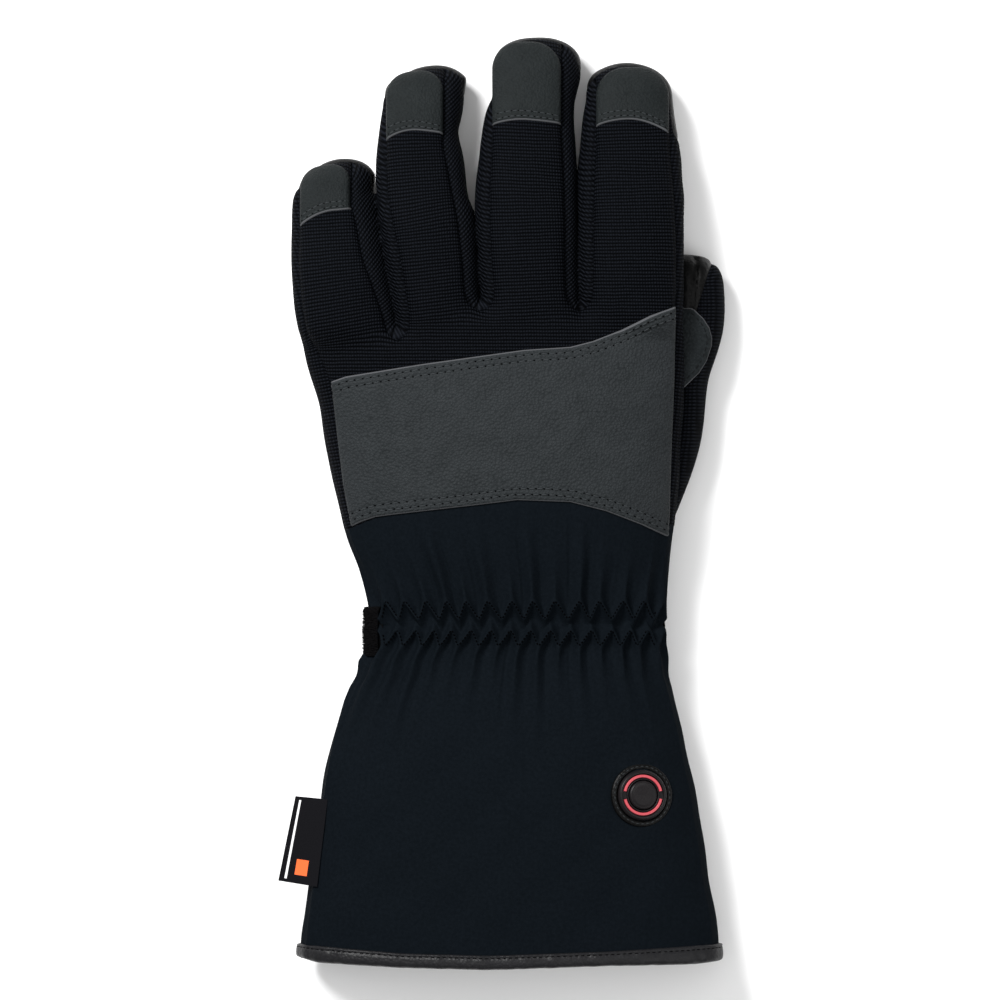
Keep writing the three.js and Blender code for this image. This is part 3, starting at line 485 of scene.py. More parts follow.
def cut(data, faces, value):
    """Cuts triangles where a value crosses zero. Gives the new data, and the faces above and below."""
    value = np.where(np.abs(value) < 1e-6, 1e-6, value)
    above = value[faces] > 0
    ups = above.sum(1)
    split = faces[(ups == 1) | (ups == 2)]
    split_above = value[split] > 0
    lone = np.where(split_above.sum(1) == 1, split_above.argmax(1), (~split_above).argmax(1))
    rows = np.arange(len(split))
    a = split[rows, lone]
    b = split[rows, (lone + 1) % 3]
    c = split[rows, (lone + 2) % 3]
    edges = np.sort(np.concatenate([np.stack([a, b], 1), np.stack([a, c], 1)]), 1)
    unique, back = np.unique(edges, axis=0, return_inverse=True)
    back = back.reshape(-1)
    share = value[unique[:, 0]] / (value[unique[:, 0]] - value[unique[:, 1]])
    new = mix(data[unique[:, 0]], data[unique[:, 1]], share[:, None])
    ab = back[:len(split)] + len(data)
    ac = back[len(split):] + len(data)
    tips = np.stack([a, ab, ac], 1)
    rests = np.concatenate([np.stack([ab, b, c], 1), np.stack([ab, c, ac], 1)])
    tip_above = value[a] > 0
    rest_above = np.concatenate([~tip_above, ~tip_above])
    up = np.concatenate([faces[ups == 3], tips[tip_above], rests[rest_above]])
    down = np.concatenate([faces[ups == 0], tips[~tip_above], rests[~rest_above]])
    return np.concatenate([data, new]), up, down


def line_distance(line, x, y):
    """Distance from a line through points seen from above."""
    best = np.full(np.shape(x), 1e9)
    for (ax, ay), (bx, by) in zip(line[:-1], line[1:]):
        dx, dy = bx - ax, by - ay
        share = np.clip(((x - ax) * dx + (y - ay) * dy) / (dx * dx + dy * dy), 0, 1)
        best = np.minimum(best, np.hypot(x - ax - share * dx, y - ay - share * dy))
    return best


def polygon_distance(outline, x, y):
    """Distance in from a closed outline, below zero outside it."""
    inside = np.zeros(np.shape(x), bool)
    for (ax, ay), (bx, by) in zip(outline, outline[1:] + outline[:1]):
        crosses = (ay > y) != (by > y)
        inside ^= crosses & (x < ax + (y - ay) / np.where(by == ay, 1, by - ay) * (bx - ax))
    near = line_distance(outline + outline[:1], x, y)
    return np.where(inside, near, -near)


# Pieces

def fresh_mesh(name, points, faces, uv=None):
    """Mesh in the frame's metres, with only the points that its faces use."""
    used, back = np.unique(faces, return_inverse=True)
    faces = back.reshape(faces.shape)
    mesh = bpy.data.meshes.new(name)
    mesh.from_pydata(((points[used] + ORIGIN) * MM).tolist(), [], faces.tolist())
    mesh.polygons.foreach_set("use_smooth", np.ones(len(faces), bool))
    if uv is not None:
        layer = mesh.uv_layers.new(name="UVMap")
        layer.data.foreach_set("uv", uv[used][faces.ravel()].astype(np.float32).ravel())
    mesh.update()
    return mesh


def make(name, points, faces, material, uv=None, replaces=None, body="glove"):
    """Adds a piece, rides it on its body and hides the parts that it stands in for."""
    made = bpy.data.objects.new(name, fresh_mesh(name, points, faces, uv))
    made.data.materials.append(material)
    bpy.context.scene.collection.objects.link(made)
    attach(made, body)
    if replaces:
        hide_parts(*replaces)
    return made


def rim(points, faces, normals, wide, drop, kept):
    """Strip that runs down from the open edge of a piece, for the cut edge of leather."""
    edges = np.concatenate([faces[:, [0, 1]], faces[:, [1, 2]], faces[:, [2, 0]]])
    keys = np.sort(edges, 1)
    _, first, counts = np.unique(keys, axis=0, return_index=True, return_counts=True)
    border = edges[first[counts == 1]]
    border = border[kept[border].all(1)]
    used, back = np.unique(border, return_inverse=True)
    border = back.reshape(border.shape)
    along = points[used][border[:, 1]] - points[used][border[:, 0]]
    along /= np.maximum(np.linalg.norm(along, axis=1), 1e-9)[:, None]
    out = np.zeros((len(used), 3))
    for end in (0, 1):
        np.add.at(out, border[:, end], np.cross(along, normals[used][border[:, end]]))
    out /= np.maximum(np.linalg.norm(out, axis=1), 1e-9)[:, None]
    top = points[used]
    rows = [top, top + out * wide * 0.8 - normals[used] * drop * 0.25,
            top + out * wide - normals[used] * drop]
    size = len(used)
    quads = []
    for level in (0, 1):
        a = border[:, 0] + level * size
        b = border[:, 1] + level * size
        quads += [np.stack([b, a, a + size], 1), np.stack([b, a + size, b + size], 1)]
    return np.concatenate(rows), np.concatenate(quads)


def capsule(sides=6, rings=5):
    """Small grain with its long side on X, one unit long and half a unit round each way."""
    points = [(-0.5, 0, 0)]
    for i in range(1, rings):
        turn = math.pi * i / rings
        for k in range(sides):
            angle = 2 * math.pi * k / sides
            points.append((-0.5 * math.cos(turn), math.sin(turn) ** 0.7 * math.cos(angle),
                           math.sin(turn) ** 0.7 * math.sin(angle)))
    points.append((0.5, 0, 0))
    faces = []
    for k in range(sides):
        nxt = (k + 1) % sides
        faces.append((0, 1 + nxt, 1 + k))
        for i in range(rings - 2):
            a = 1 + i * sides
            faces.append((a + k, a + nxt, a + sides + nxt))
            faces.append((a + k, a + sides + nxt, a + sides + k))
        last = 1 + (rings - 2) * sides
        faces.append((last + k, last + nxt, len(points) - 1))
    return np.array(points), np.array(faces)


def stitches(name, ends, normals, thick, material):
    """Threads between pairs of points, each a small straight grain."""
    grain, faces = capsule()
    starts, stops = ends[:, 0], ends[:, 1]
    along = stops - starts
    length = np.linalg.norm(along, axis=1)[:, None]
    along = along / length
    side = np.cross(normals, along)
    side /= np.linalg.norm(side, axis=1)[:, None]
    up = np.cross(along, side)
    points = ((starts + stops)[:, None, :] / 2 + along[:, None, :] * (grain[:, 0:1] * length[:, None])
              + side[:, None, :] * grain[:, 1:2] * thick + up[:, None, :] * grain[:, 2:3] * thick)
    every = faces[None] + (np.arange(len(starts)) * len(grain))[:, None, None]
    return make(name, points.reshape(-1, 3), every.reshape(-1, 3), material)


def spaced(line, pitch, fill=0.68, start=0.16):
    """Pairs of ends of stitches along a line seen from above or in space."""
    line = np.array(line, float)
    steps = np.linalg.norm(np.diff(line, axis=0), axis=1)
    places = np.concatenate([[0], np.cumsum(steps)])
    count = max(int(places[-1] / pitch), 1)
    starts = (np.arange(count) + start) * places[-1] / count
    stops = starts + fill * places[-1] / count
    ends = [np.stack([np.interp(at, places, line[:, i]) for i in range(line.shape[1])], 1)
            for at in (starts, stops)]
    return np.stack(ends, 1)


def smooth_line(points, step=1.0):
    """Points spaced along a smooth line through a few."""
    points = np.array(points, float)
    places = np.concatenate([[0], np.cumsum(np.linalg.norm(np.diff(points, axis=0), axis=1))])
    at = np.linspace(0, places[-1], int(places[-1] / step) + 2)
    return np.stack([curve(places, points[:, i], at) for i in range(points.shape[1])], 1)


def offset_line(points, shift):
    """Line moved to its left by shift."""
    line = smooth_line(points)
    way = np.gradient(line, axis=0)
    way /= np.linalg.norm(way, axis=1)[:, None]
    return line + np.stack([-way[:, 1], way[:, 0]], 1) * shift


class Drape:
    """Finds the height of a surface under a point seen from above."""

    def __init__(self, points, faces):
        self.tree = BVHTree.FromPolygons(points.tolist(), faces.tolist())

    def drop(self, plan):
        found, ways = [], []
        for x, y in plan:
            hit, way, _, _ = self.tree.ray_cast(Vector((x, y, 200)), Vector((0, 0, -1)))
            found.append(tuple(hit) if hit else (x, y, -1e3))
            ways.append(tuple(way) if way else (0, 0, 1))
        return np.array(found), np.array(ways)


def lay_stitches(name, drape, lines, pitch, thick, material, fill=0.68, start=0.16):
    every, ways = [], []
    for line in lines:
        pairs = spaced(line, pitch, fill, start)
        a, way = drape.drop(pairs[:, 0])
        b, other = drape.drop(pairs[:, 1])
        keep = (a[:, 2] > 0) & (b[:, 2] > 0) & (np.abs(a[:, 2] - b[:, 2]) < pitch)
        every.append(np.stack([a, b], 1)[keep])
        ways.append((way + other)[keep] / 2)
    ends = np.concatenate(every)
    ways = np.concatenate(ways)
    ways /= np.linalg.norm(ways, axis=1)[:, None]
    return stitches(name, ends, ways, thick, material)


def sew(name, drape, lines, pitch, thick):
    """Pale stitches with a dark grain at each end, painted shade in the needle hole."""
    lay_stitches(name, drape, lines, pitch, thick, pale_thread)
    # Dark grains at the ends of the stitches are painted shade in the needle holes.
    lay_stitches(name + "_hole_shade", drape, lines, pitch, thick * 1.05, dark_thread_and_hole_shade, 0.24, 0.88)


# Materials

class Finish:
    """A procedural material whose nodes are made one by one."""

    def __init__(self, name, colour, roughness, specular=0.5):
        self.material = bpy.data.materials.new(name)
        self.material.use_nodes = True
        self.nodes = self.material.node_tree.nodes
        self.links = self.material.node_tree.links
        self.shader = self.nodes["Principled BSDF"]
        self.set("Base Color", (*colour, 1))
        self.set("Roughness", roughness)
        self.set("Specular IOR Level", specular)

    def set(self, name, value):
        self.shader.inputs[name].default_value = value

    def add(self, kind, **settings):
        node = self.nodes.new(kind)
        for key, value in settings.items():
            setattr(node, key, value)
        return node

    def math(self, operation, first, second=0.0, third=None):
        node = self.add("ShaderNodeMath", operation=operation)
        for socket, value in zip(node.inputs, (first, second, third)):
            if value is None:
                continue
            if isinstance(value, (int, float)):
                socket.default_value = value
            else:
                self.links.new(value, socket)
        return node.outputs[0]

    def uv(self):
        return self.split(self.add("ShaderNodeTexCoord").outputs["UV"])

    def place(self):
        return self.add("ShaderNodeTexCoord").outputs["Object"]

    def split(self, vector):
        node = self.add("ShaderNodeSeparateXYZ")
        self.links.new(vector, node.inputs[0])
        return node.outputs

    def noise(self, scale, detail=3.0, rough=0.5, vector=None):
        node = self.add("ShaderNodeTexNoise")
        node.inputs["Scale"].default_value = scale
        node.inputs["Detail"].default_value = detail
        node.inputs["Roughness"].default_value = rough
        self.links.new(vector if vector is not None else self.place(), node.inputs["Vector"])
        return node.outputs["Fac"]

    def cells(self, scale, smooth=0.35):
        node = self.add("ShaderNodeTexVoronoi", feature="SMOOTH_F1")
        node.inputs["Scale"].default_value = scale
        node.inputs["Smoothness"].default_value = smooth
        self.links.new(self.place(), node.inputs["Vector"])
        return node.outputs["Distance"]

    def bump(self, height, distance, strength=1.0):
        node = self.add("ShaderNodeBump")
        node.inputs["Strength"].default_value = strength
        node.inputs["Distance"].default_value = distance
        self.links.new(height, node.inputs["Height"])
        previous = self.shader.inputs["Normal"].links
        if previous:
            self.links.new(previous[0].from_socket, node.inputs["Normal"])
        self.links.new(node.outputs["Normal"], self.shader.inputs["Normal"])

    def colours(self, share, dark, light):
        node = self.add("ShaderNodeMix", data_type="RGBA")
        self.links.new(share, node.inputs["Factor"])
        node.inputs["A"].default_value = (*dark, 1)
        node.inputs["B"].default_value = (*light, 1)
        self.links.new(node.outputs["Result"], self.shader.inputs["Base Color"])

    def roughen(self, share, low, high):
        node = self.add("ShaderNodeMapRange")
        self.links.new(share, node.inputs["Value"])
        node.inputs["To Min"].default_value = low
        node.inputs["To Max"].default_value = high
        self.links.new(node.outputs["Result"], self.shader.inputs["Roughness"])


def ribbed_finish():
    """Cloth with staggered beads of thread along its ribs, both laid by the UV map in mm."""
    cloth = Finish("ribbed_cloth", (0.006, 0.007, 0.010), 0.7, 0.015)
    u, v, _ = cloth.uv()
    wander = cloth.noise(160, 2)
    shifted = cloth.math("MULTIPLY_ADD", wander, 0.45, v)
    rib = cloth.math("SINE", cloth.math("MULTIPLY", shifted, 2 * math.pi / RIB_PITCH))
    rib = cloth.math("MULTIPLY_ADD", rib, 0.5, 0.5)
    row_number = cloth.math("FLOOR", cloth.math("DIVIDE", shifted, RIB_PITCH))
    stagger = cloth.math("ADD", cloth.math("MULTIPLY_ADD", row_number, 0.07, u),
                         cloth.math("MULTIPLY", cloth.noise(300, 2), 0.4))
    bead = cloth.math("SINE", cloth.math("MULTIPLY", stagger, 2 * math.pi / THREAD_PITCH))
    bead = cloth.math("MULTIPLY_ADD", bead, 0.38, 0.62)
    height = cloth.math("MULTIPLY", rib, bead)
    cloth.bump(height, 0.0005)
    # Colour: random tone from the noise, and painted shade that darkens the grooves between the ribs and
    # between the beads.
    shade = cloth.math("MULTIPLY_ADD", cloth.noise(1100, 2), 0.5, cloth.math(
        "MULTIPLY_ADD", height, 1.5, -0.3))
    cloth.colours(shade, (0.0003, 0.0004, 0.0006), (0.0066, 0.0077, 0.0104))
    return cloth.material


def leather_finish(name, dark, light, rough, grain, depth, specular):
    """Pebbled leather. grain is the number of pebbles in a metre, depth their height in metres."""
    leather = Finish(name, light, rough, specular)
    pebbles = leather.cells(grain)
    fine = leather.noise(grain * 2.2, 3)
    height = leather.math("MULTIPLY_ADD", fine, 0.3, leather.math("SUBTRACT", 1.0, pebbles))
    leather.bump(height, depth)
    leather.bump(leather.noise(70, 2), 0.0005, 0.4)
    leather.colours(leather.math("MULTIPLY_ADD", leather.noise(120, 4), 0.5, leather.math(
        "MULTIPLY", leather.math("SUBTRACT", 1.0, pebbles), 0.5)), dark, light)
    leather.roughen(leather.noise(90, 3), rough - 0.06, rough + 0.08)
    return leather.material


def softshell_finish():
    cloth = Finish("softshell", (0.005, 0.007, 0.010), 0.8, 0.01)
    cloth.bump(cloth.noise(2600, 2), 0.00005)
    cloth.bump(cloth.noise(90, 3), 0.0004, 0.4)
    cloth.colours(cloth.noise(900, 3), (0.0017, 0.0026, 0.0036), (0.0040, 0.0057, 0.0078))
    return cloth.material


def plain_finish(name, colour, roughness, specular=0.2, grain=None, depth=0.0001):
    finish = Finish(name, colour, roughness, specular)
    if grain:
        finish.bump(finish.noise(grain, 3), depth)
    return finish.material


def light_finish():
    light = Finish("red_light", (0.26, 0.035, 0.045), 0.35, 0.3)
    light.set("Emission Color", (1.0, 0.13, 0.16, 1))
    light.set("Emission Strength", 0.25)
    return light.material


ribbed = ribbed_finish()
grey_leather = leather_finish(
    "grey_leather", (0.0075, 0.0090, 0.0097), (0.0235, 0.0265, 0.0285),
    rough=0.60, grain=1150, depth=0.00036, specular=0.05)
cap_leather = leather_finish(
    "cap_leather", (0.0048, 0.0060, 0.0063), (0.0132, 0.0156, 0.0161),
    rough=0.6, grain=1250, depth=0.00026, specular=0.04)
black_leather = leather_finish(
    "black_leather", (0.0010, 0.0010, 0.0010), (0.0040, 0.0040, 0.0041),
    rough=0.38, grain=950, depth=0.00012, specular=0.08)
binding_leather = leather_finish(
    "binding_leather", (0.006, 0.006, 0.0066), (0.0100, 0.0100, 0.0112),
    rough=0.40, grain=900, depth=0.00014, specular=0.12)
softshell = softshell_finish()
patch_leather = leather_finish(
    "patch_leather", (0.0040, 0.0050, 0.0056), (0.0190, 0.0225, 0.0242),
    rough=0.6, grain=1000, depth=0.00040, specular=0.04)
cut_edge = plain_finish("cut_edge", (0.060, 0.062, 0.066), 0.85, 0.02, 1500, 0.0001)
thread = plain_finish("thread", (0.006, 0.0065, 0.007), 0.6, 0.03)
pale_thread = plain_finish("pale_thread", (0.026, 0.029, 0.031), 0.6, 0.03)
# Dark thread, also used for the painted shade in the needle holes.
dark_thread_and_hole_shade = plain_finish("dark_thread_and_hole_shade", (0.001, 0.001, 0.0012), 0.7, 0.0)
webbing = plain_finish("webbing", (0.0016, 0.0017, 0.0020), 0.85, 0.02, 1200, 0.0003)
pile = plain_finish("pile", (0.0030, 0.0029, 0.0032), 0.8, 0.02)
label_cloth = plain_finish("label_cloth", (0.004, 0.004, 0.005), 0.75, 0.03, 1500, 0.0001)
white_ink = plain_finish("white_ink", (0.6, 0.6, 0.6), 0.6)
orange_ink = plain_finish("orange_ink", (0.62, 0.10, 0.02), 0.6)
rubber = plain_finish("rubber", (0.0062, 0.0052, 0.0058), 0.36, 0.12, 500, 0.00003)
red_light = light_finish()


# Hand

def cuff_seam(x):
    """Place along of the seam between the hand and the cuff, which bows towards the fingers."""
    across = np.clip((x - WRIST_OFFSET) / (KNUCKLE_WIDTH * 0.6), -1, 1)
    return HAND_LENGTH * (SEAM_RISE - SEAM_BOW * across * across)


def loop_distance(index, x, y):
    """Distance into the strip of cloth between two fingers, below zero outside it."""
    _, left, right, low, _ = STRIPS[index]
    left, right = seam_x(left, y), seam_x(right, y)
    share = np.clip((low + STRIP_TURN - y) / STRIP_TURN, 0, 1)
    half = (right - left) / 2 * np.sqrt(1 - share * share)
    off = np.hypot(x - (left + right) / 2, np.minimum(y - low, 0))
    return np.where(y > low, half, 0) - off


def finger_weights(x, y):
    """How much each finger governs a place seen from above, and its rib place there."""
    weights, places = [], []
    for finger in FINGERS:
        along, across, (_, _, _, half, _) = finger_place(finger, x, y)
        base = HAND_LENGTH * finger["crotch"]
        places.append(np.where(along > 0, along * finger["length"], along * ROOT_LENGTH) + base)
        weights.append(np.exp(-(across / half) ** 2 * 2.5) + 1e-12)
    weights = np.array(weights)
    return weights / weights.sum(0), np.array(places)


def palm_seam_height(x, y):
    """Height of the seam between the palm leather and the cloth, which rises round the tips."""
    _, _, middle, _, bottom = section(np.minimum(y, BODY_END))
    body = middle - PALM_SEAM * (middle - bottom)
    fingers, total = 0, 0
    for finger in FINGERS:
        along, across, (_, _, z, half, height) = finger_place(finger, x, y)
        weight = np.exp(-(across / half) ** 2 * 7) + 1e-12
        to_tip = (1 - along) * finger["length"]
        rise = 0.62 * (1 - smooth_step(5, 13, to_tip))
        if finger["name"] == "index":
            rise = np.maximum(rise, 0.66 * smooth_step(0.3, 0.8, across / half)
                              * (1 - smooth_step(25, 31, to_tip)))
        fingers = fingers + weight * (z + (rise - PALM_SEAM) * height)
        total = total + weight
    return mix(body, fingers / total, smooth_step(92, 108, y))


# Columns of the hand's data after its points and directions: rib places, then values to cut at zero
U, V, SIDE_LEFT, SIDE_RIGHT, PALM, LOOP, CUFF_EDGE = 6, 7, 8, 9, 10, 11, 14


def part(data, faces, column):
    return cut(data, faces, data[:, column])


def unit(ways):
    return ways / np.maximum(np.linalg.norm(ways, axis=1), 1e-9)[:, None]


def groove(near, depth, width):
    """Depth of a sewn dip at a distance from its seam."""
    return depth * np.exp(-np.abs(near / width) ** 1.25)


def hand_shape(data):
    """Cloth dips along its seams and swells a little between them."""
    x, y = data[:, 0], data[:, 1]
    on_back = smooth_step(0.4, -0.4, data[:, PALM])
    near = np.abs(data[:, SIDE_LEFT:SIDE_RIGHT + 1]).min(1)
    near_loop = np.abs(data[:, LOOP:LOOP + len(STRIPS)]).min(1)
    dip = on_back * (groove(near, 1.2, 1.0) + groove(near_loop, 1.9, 1.1))
    dip = np.maximum(dip, groove(data[:, PALM], 0.9, 1.4))
    wrinkle = 0.16 * np.sin(x * 0.21 + 1.3 * np.sin(y * 0.13)) * np.sin(y * 0.17 + np.sin(x * 0.19))
    shaped = data[:, :3] + unit(data[:, 3:6]) * (wrinkle - dip)[:, None]
    shaped[:, 2] = np.maximum(shaped[:, 2], 0.02)
    return shaped


def ribs(data, turn=0.0, bend=0.0):
    """Rib and thread places for a piece, turned by an angle in radians."""
    u, v = data[:, U], data[:, V]
    return np.stack([u * math.cos(turn) + v * math.sin(turn),
                     v * math.cos(turn) - u * math.sin(turn) + bend * data[:, 2]], 1)


def overlay(name, source, value_of, thick, leather, rows=(), replaces=()):
    """Leather laid over the hand or thumb. value_of gives the distances in from its free edges,
    which are cut and pale, and from its sewn ones, which are tucked into a seam."""
    distance, points, faces = source
    free, sewn = value_of(*points.T)
    near = (np.minimum(free, sewn)[faces] > -2).any(1)
    used, back = np.unique(faces[near], return_inverse=True)
    points, faces = refine(points[used], back.reshape(-1, 3))
    points, normals = settle(distance, points)
    free, sewn = value_of(*points.T)
    data = np.concatenate([points, normals, np.stack([free, sewn], 1)], 1)
    data, faces, _ = cut(data, faces, data[:, 6])
    data, faces, _ = cut(data, faces, data[:, 7])
    points, normals = data[:, :3], unit(data[:, 3:6])
    free, sewn = np.maximum(data[:, 6], 0), np.maximum(data[:, 7], 0)
    rise = (0.25 + thick * (0.6 + 0.4 * np.sqrt(np.clip(free / 0.9, 0, 1)))) * np.sqrt(
        np.clip(sewn / 1.5, 0, 1))
    rise = rise - groove(sewn, 0.9, 0.9)
    for place, depth, width in rows:
        rise = rise - depth * np.exp(-((free - place) / width) ** 2)
    laid = points + normals * rise[:, None]
    make(name, laid, faces, leather, points[:, :2], replaces)
    edge_points, edge_faces = rim(laid, faces, normals, 0.45, 0.25 + thick * 0.6, free < 1e-3)
    make(name + "_edge", edge_points, edge_faces, cut_edge)
    return laid, faces


def panel_value(x, y, z):
    """Distances in from the knuckle panel's cut edges and from its sewn sides."""
    side = np.sign(polygon_distance(PANEL, x, y)) * np.where(z > 16, 1, 0)
    free = np.minimum(line_distance(PANEL_TOP, x, y), line_distance(PANEL_BOTTOM, x, y))
    left, right = PANEL[20:] + PANEL[:1], PANEL[8:12]
    sewn = np.minimum(line_distance(left, x, y), line_distance(right, x, y))
    outside = np.where(side > 0, 1, -1)
    return outside * free, np.where(side > 0, sewn, np.where(free < sewn, sewn, -sewn))


def cap_value(finger):
    """Distances in from a fingertip cap's hem and from its sewn edges."""
    name = finger["name"]

    def value(x, y, z):
        along, across, (_, _, middle, half, height) = finger_place(finger, x, y)
        share = np.clip(across / half, -1, 1)
        left, centre, right = finger["hem"]
        hem = mix(centre, np.where(share < 0, left, right), share * share)
        to_tip = (1 - along) * finger["length"] + finger["lean"] * across
        low = z - (middle - CAP_LOW * height)
        left, right = (seam_x(name + side, y) for side in ("_left", "_right"))
        wide = (right - left) / 2 - CAP_INSET
        turn = CAP_CORNER * wide
        near = turn - np.hypot(np.maximum(np.abs(x - (left + right) / 2) - (wide - turn), 0),
                               np.maximum(turn - (to_tip - TIP_LEATHER - CAP_END), 0))
        return (along - hem) * finger["length"], np.minimum(low, near)

    return value


def build_hand():
    """Palm, back, side strips and strips between the fingers, then the knuckle panel and the caps."""
    net, quads = surface_net(hand_distance, *HAND_BOX, NET_STEP)
    net, outward = settle(hand_distance, net)
    hand_faces = triangles_of(quads)
    x, y, z = net.T
    loops = np.array([loop_distance(i, x, y) for i in range(len(STRIPS))])
    weights, rib_places = finger_weights(x, y)
    rib_place = mix(y, (weights * rib_places).sum(0), smooth_step(60, 110, y))
    data = np.concatenate([net, outward, np.stack([
        x, rib_place, seam_x("little_left", y) - x, x - seam_x("index_right", y),
        palm_seam_height(x, y) - z, *loops, y - cuff_seam(x)], 1)], 1)
    data, faces, _ = part(data, hand_faces, CUFF_EDGE)
    data, palm, upper = part(data, faces, PALM)
    data, left_side, upper = part(data, upper, SIDE_LEFT)
    data, right_side, upper = part(data, upper, SIDE_RIGHT)
    strips = []
    for column in range(LOOP, LOOP + len(STRIPS)):
        data, strip, upper = part(data, upper, column)
        strips.append(strip)
    shaped = hand_shape(data)
    make("palm_leather", shaped, palm, black_leather, ribs(data), ["palm_panel"])
    make("back_cloth", shaped, upper, ribbed, ribs(data), ["back_panel"])
    make("side_little_cloth", shaped, left_side, ribbed, ribs(data, 0.15), ["side_little"])
    make("side_index_cloth", shaped, right_side, ribbed, ribs(data, -0.15), ["side_index"])
    for strip, (name, _, _, _, turn) in zip(strips, STRIPS):
        make("strip_" + name, shaped, strip, ribbed, ribs(data, turn, 0.5),
             ["fourchette_" + name])
    hand_source = (hand_distance, net, hand_faces)
    panel_points, panel_faces = overlay(
        "knuckle_leather", hand_source, panel_value, 1.0, grey_leather,
        rows=[(place, 0.25, 0.5) for place in PANEL_ROWS], replaces=["knuckle_panel"])
    panel_drape = Drape(panel_points, panel_faces)
    panel_lines = [offset_line(edge, -shift) for edge in (PANEL_TOP, PANEL_BOTTOM) for shift in PANEL_ROWS]
    sew("knuckle_stitches", panel_drape, panel_lines, 2.9, 0.26)
    for finger in FINGERS:
        cap = "fingertip_" + finger["name"]
        cap_points, cap_faces = overlay(
            cap + "_leather", hand_source, cap_value(finger), 0.85, cap_leather,
            rows=[(place, 0.16, 0.4) for place in CAP_ROWS], replaces=[cap])
        lines = []
        for shift in CAP_ROWS:
            shares = np.linspace(-0.97, 0.97, 40)
            left, centre, right = finger["hem"]
            hem = mix(centre, np.where(shares < 0, left, right), shares * shares) + shift / finger["length"]
            ax, ay, _, half, _ = finger_axis(finger, hem)
            ahead = finger_axis(finger, hem + 0.01)
            slope = (ahead[0] - ax) / (ahead[1] - ay)
            lines.append(np.stack([ax + shares * half, ay - shares * half * slope], 1))
        sew(cap + "_stitches", Drape(cap_points, cap_faces), lines, 2.3, 0.2)


build_hand()


# Thumb

# Seam beside the thumb's leather, and the corner where the leather's edge starts to slant
THUMB_SEAM = [(70.3, 133), (70.3, 129.4), (69.0, 113)]
THUMB_CORNER = (70.3, 112.3)
# Slant of that edge, across for each millimetre along
THUMB_SLANT = 0.347
# Columns of the thumb's data that are cut at zero
FROM_HAND, BACK_EDGE, THUMB_END = 8, 9, 10


def patch_value(x, y, z):
    """Distance in from the thumb patch's round edge. Its straight edge is hidden."""
    inside = polygon_distance(THUMB_PATCH, x, y)
    side = np.where((inside > 0) & (z > 10), 1, -1)
    return side * line_distance(THUMB_PATCH[1:9], x, y), np.full(np.shape(x), 5.0)


def build_thumb():
    """Ribbed back of the thumb, its leather side and the grey patch."""
    thumb_net, quads = surface_net(thumb_distance, *THUMB_BOX, NET_STEP)
    thumb_net, thumb_out = settle(thumb_distance, thumb_net)
    thumb_faces = triangles_of(quads)
    x, y, z = thumb_net.T
    _, across, (_, _, middle, _, height) = thumb_place(x, y)
    data = np.concatenate([thumb_net, thumb_out, np.stack([
        across + z * 0.6, y, hand_distance(x, y, z) + 0.5,
        np.minimum(x - THUMB_CORNER[0] - THUMB_SLANT * (y - THUMB_CORNER[1]), z - (middle - height * 0.5)),
        y - cuff_seam(x)], 1)], 1)
    data, faces, _ = part(data, thumb_faces, FROM_HAND)
    data, faces, _ = part(data, faces, THUMB_END)
    data, thumb_back, thumb_leather = part(data, faces, BACK_EDGE)
    dip = groove(data[:, BACK_EDGE], 1.0, 1.4) + groove(np.minimum(data[:, FROM_HAND], 9), 0.8, 1.8)
    thumb_seam = line_distance(THUMB_SEAM, data[:, 0], data[:, 1])
    dip = np.maximum(dip, np.where(data[:, 2] > 14, groove(thumb_seam, 1.7, 0.7), 0))
    shaped = data[:, :3] - unit(data[:, 3:6]) * dip[:, None]
    shaped[:, 2] = np.maximum(shaped[:, 2], 0.02)
    make("thumb_cloth", shaped, thumb_back, ribbed, ribs(data), ["thumb_back"])
    make("thumb_side_leather", shaped, thumb_leather, black_leather, ribs(data),
         ["thumb_leather"])
    patch_points, patch_faces = overlay(
        "thumb_patch_leather", (thumb_distance, thumb_net, thumb_faces), patch_value, 1.0, patch_leather,
        replaces=["thumb_patch"])
    lay_stitches("thumb_patch_stitches", Drape(patch_points, patch_faces),
                 [offset_line(THUMB_PATCH[1:9], -1.2)], 2.2, 0.2, thread)


build_thumb()


# Cuff

COLUMNS = 480
FINE = 1440


def hem_rise(y):
    """The cloth near the hem is raised by the binding that passes under it."""
    return 1.5 * (1 - smooth_step(0.2, 1, (y + CUFF_LENGTH - 8) / 8))


def ring(y, grow, count=COLUMNS, rise=None):
    """Evenly spaced points round the glove at one place along it."""
    across, height = around(y, 2 * np.pi * np.arange(FINE + 1) / FINE, grow)
    rise = float(hem_rise(y)) if rise is None else rise
    height = np.maximum(height, max(rise - grow, 0.02))
    points = np.stack([across, np.full(FINE + 1, float(y)), height], 1)
    places = np.concatenate([[0], np.cumsum(np.linalg.norm(np.diff(points, axis=0), axis=1))])
    at = places[-1] * np.arange(count) / count
    return np.stack([np.interp(at, places, points[:, i]) for i in range(3)], 1)


def phase(nodes, pitch):
    """Turns of the gathers round the wrist, 0 at each node and even between the last and first."""
    base = ring(0, 0)
    top = base[:, 2] > section(0)[2]
    lengths = np.linalg.norm(np.roll(base, -1, 0) - base, axis=1)
    place = np.concatenate([[0], np.cumsum(lengths)])[:-1]
    order = np.argsort(-base[top, 0])
    marks = np.interp(-np.array(nodes[::-1]), -base[top, 0][order], place[top][order])
    girth = lengths.sum()
    rest = girth - (marks[-1] - marks[0])
    more = max(round(rest / pitch), 1)
    turns = np.arange(len(nodes) + 1, dtype=float)
    turns[-1] = len(nodes) - 1 + more
    marks = np.append(marks, marks[0] + girth)
    wrapped = np.where(place < marks[0], place + girth, place)
    return np.interp(wrapped, marks, turns)


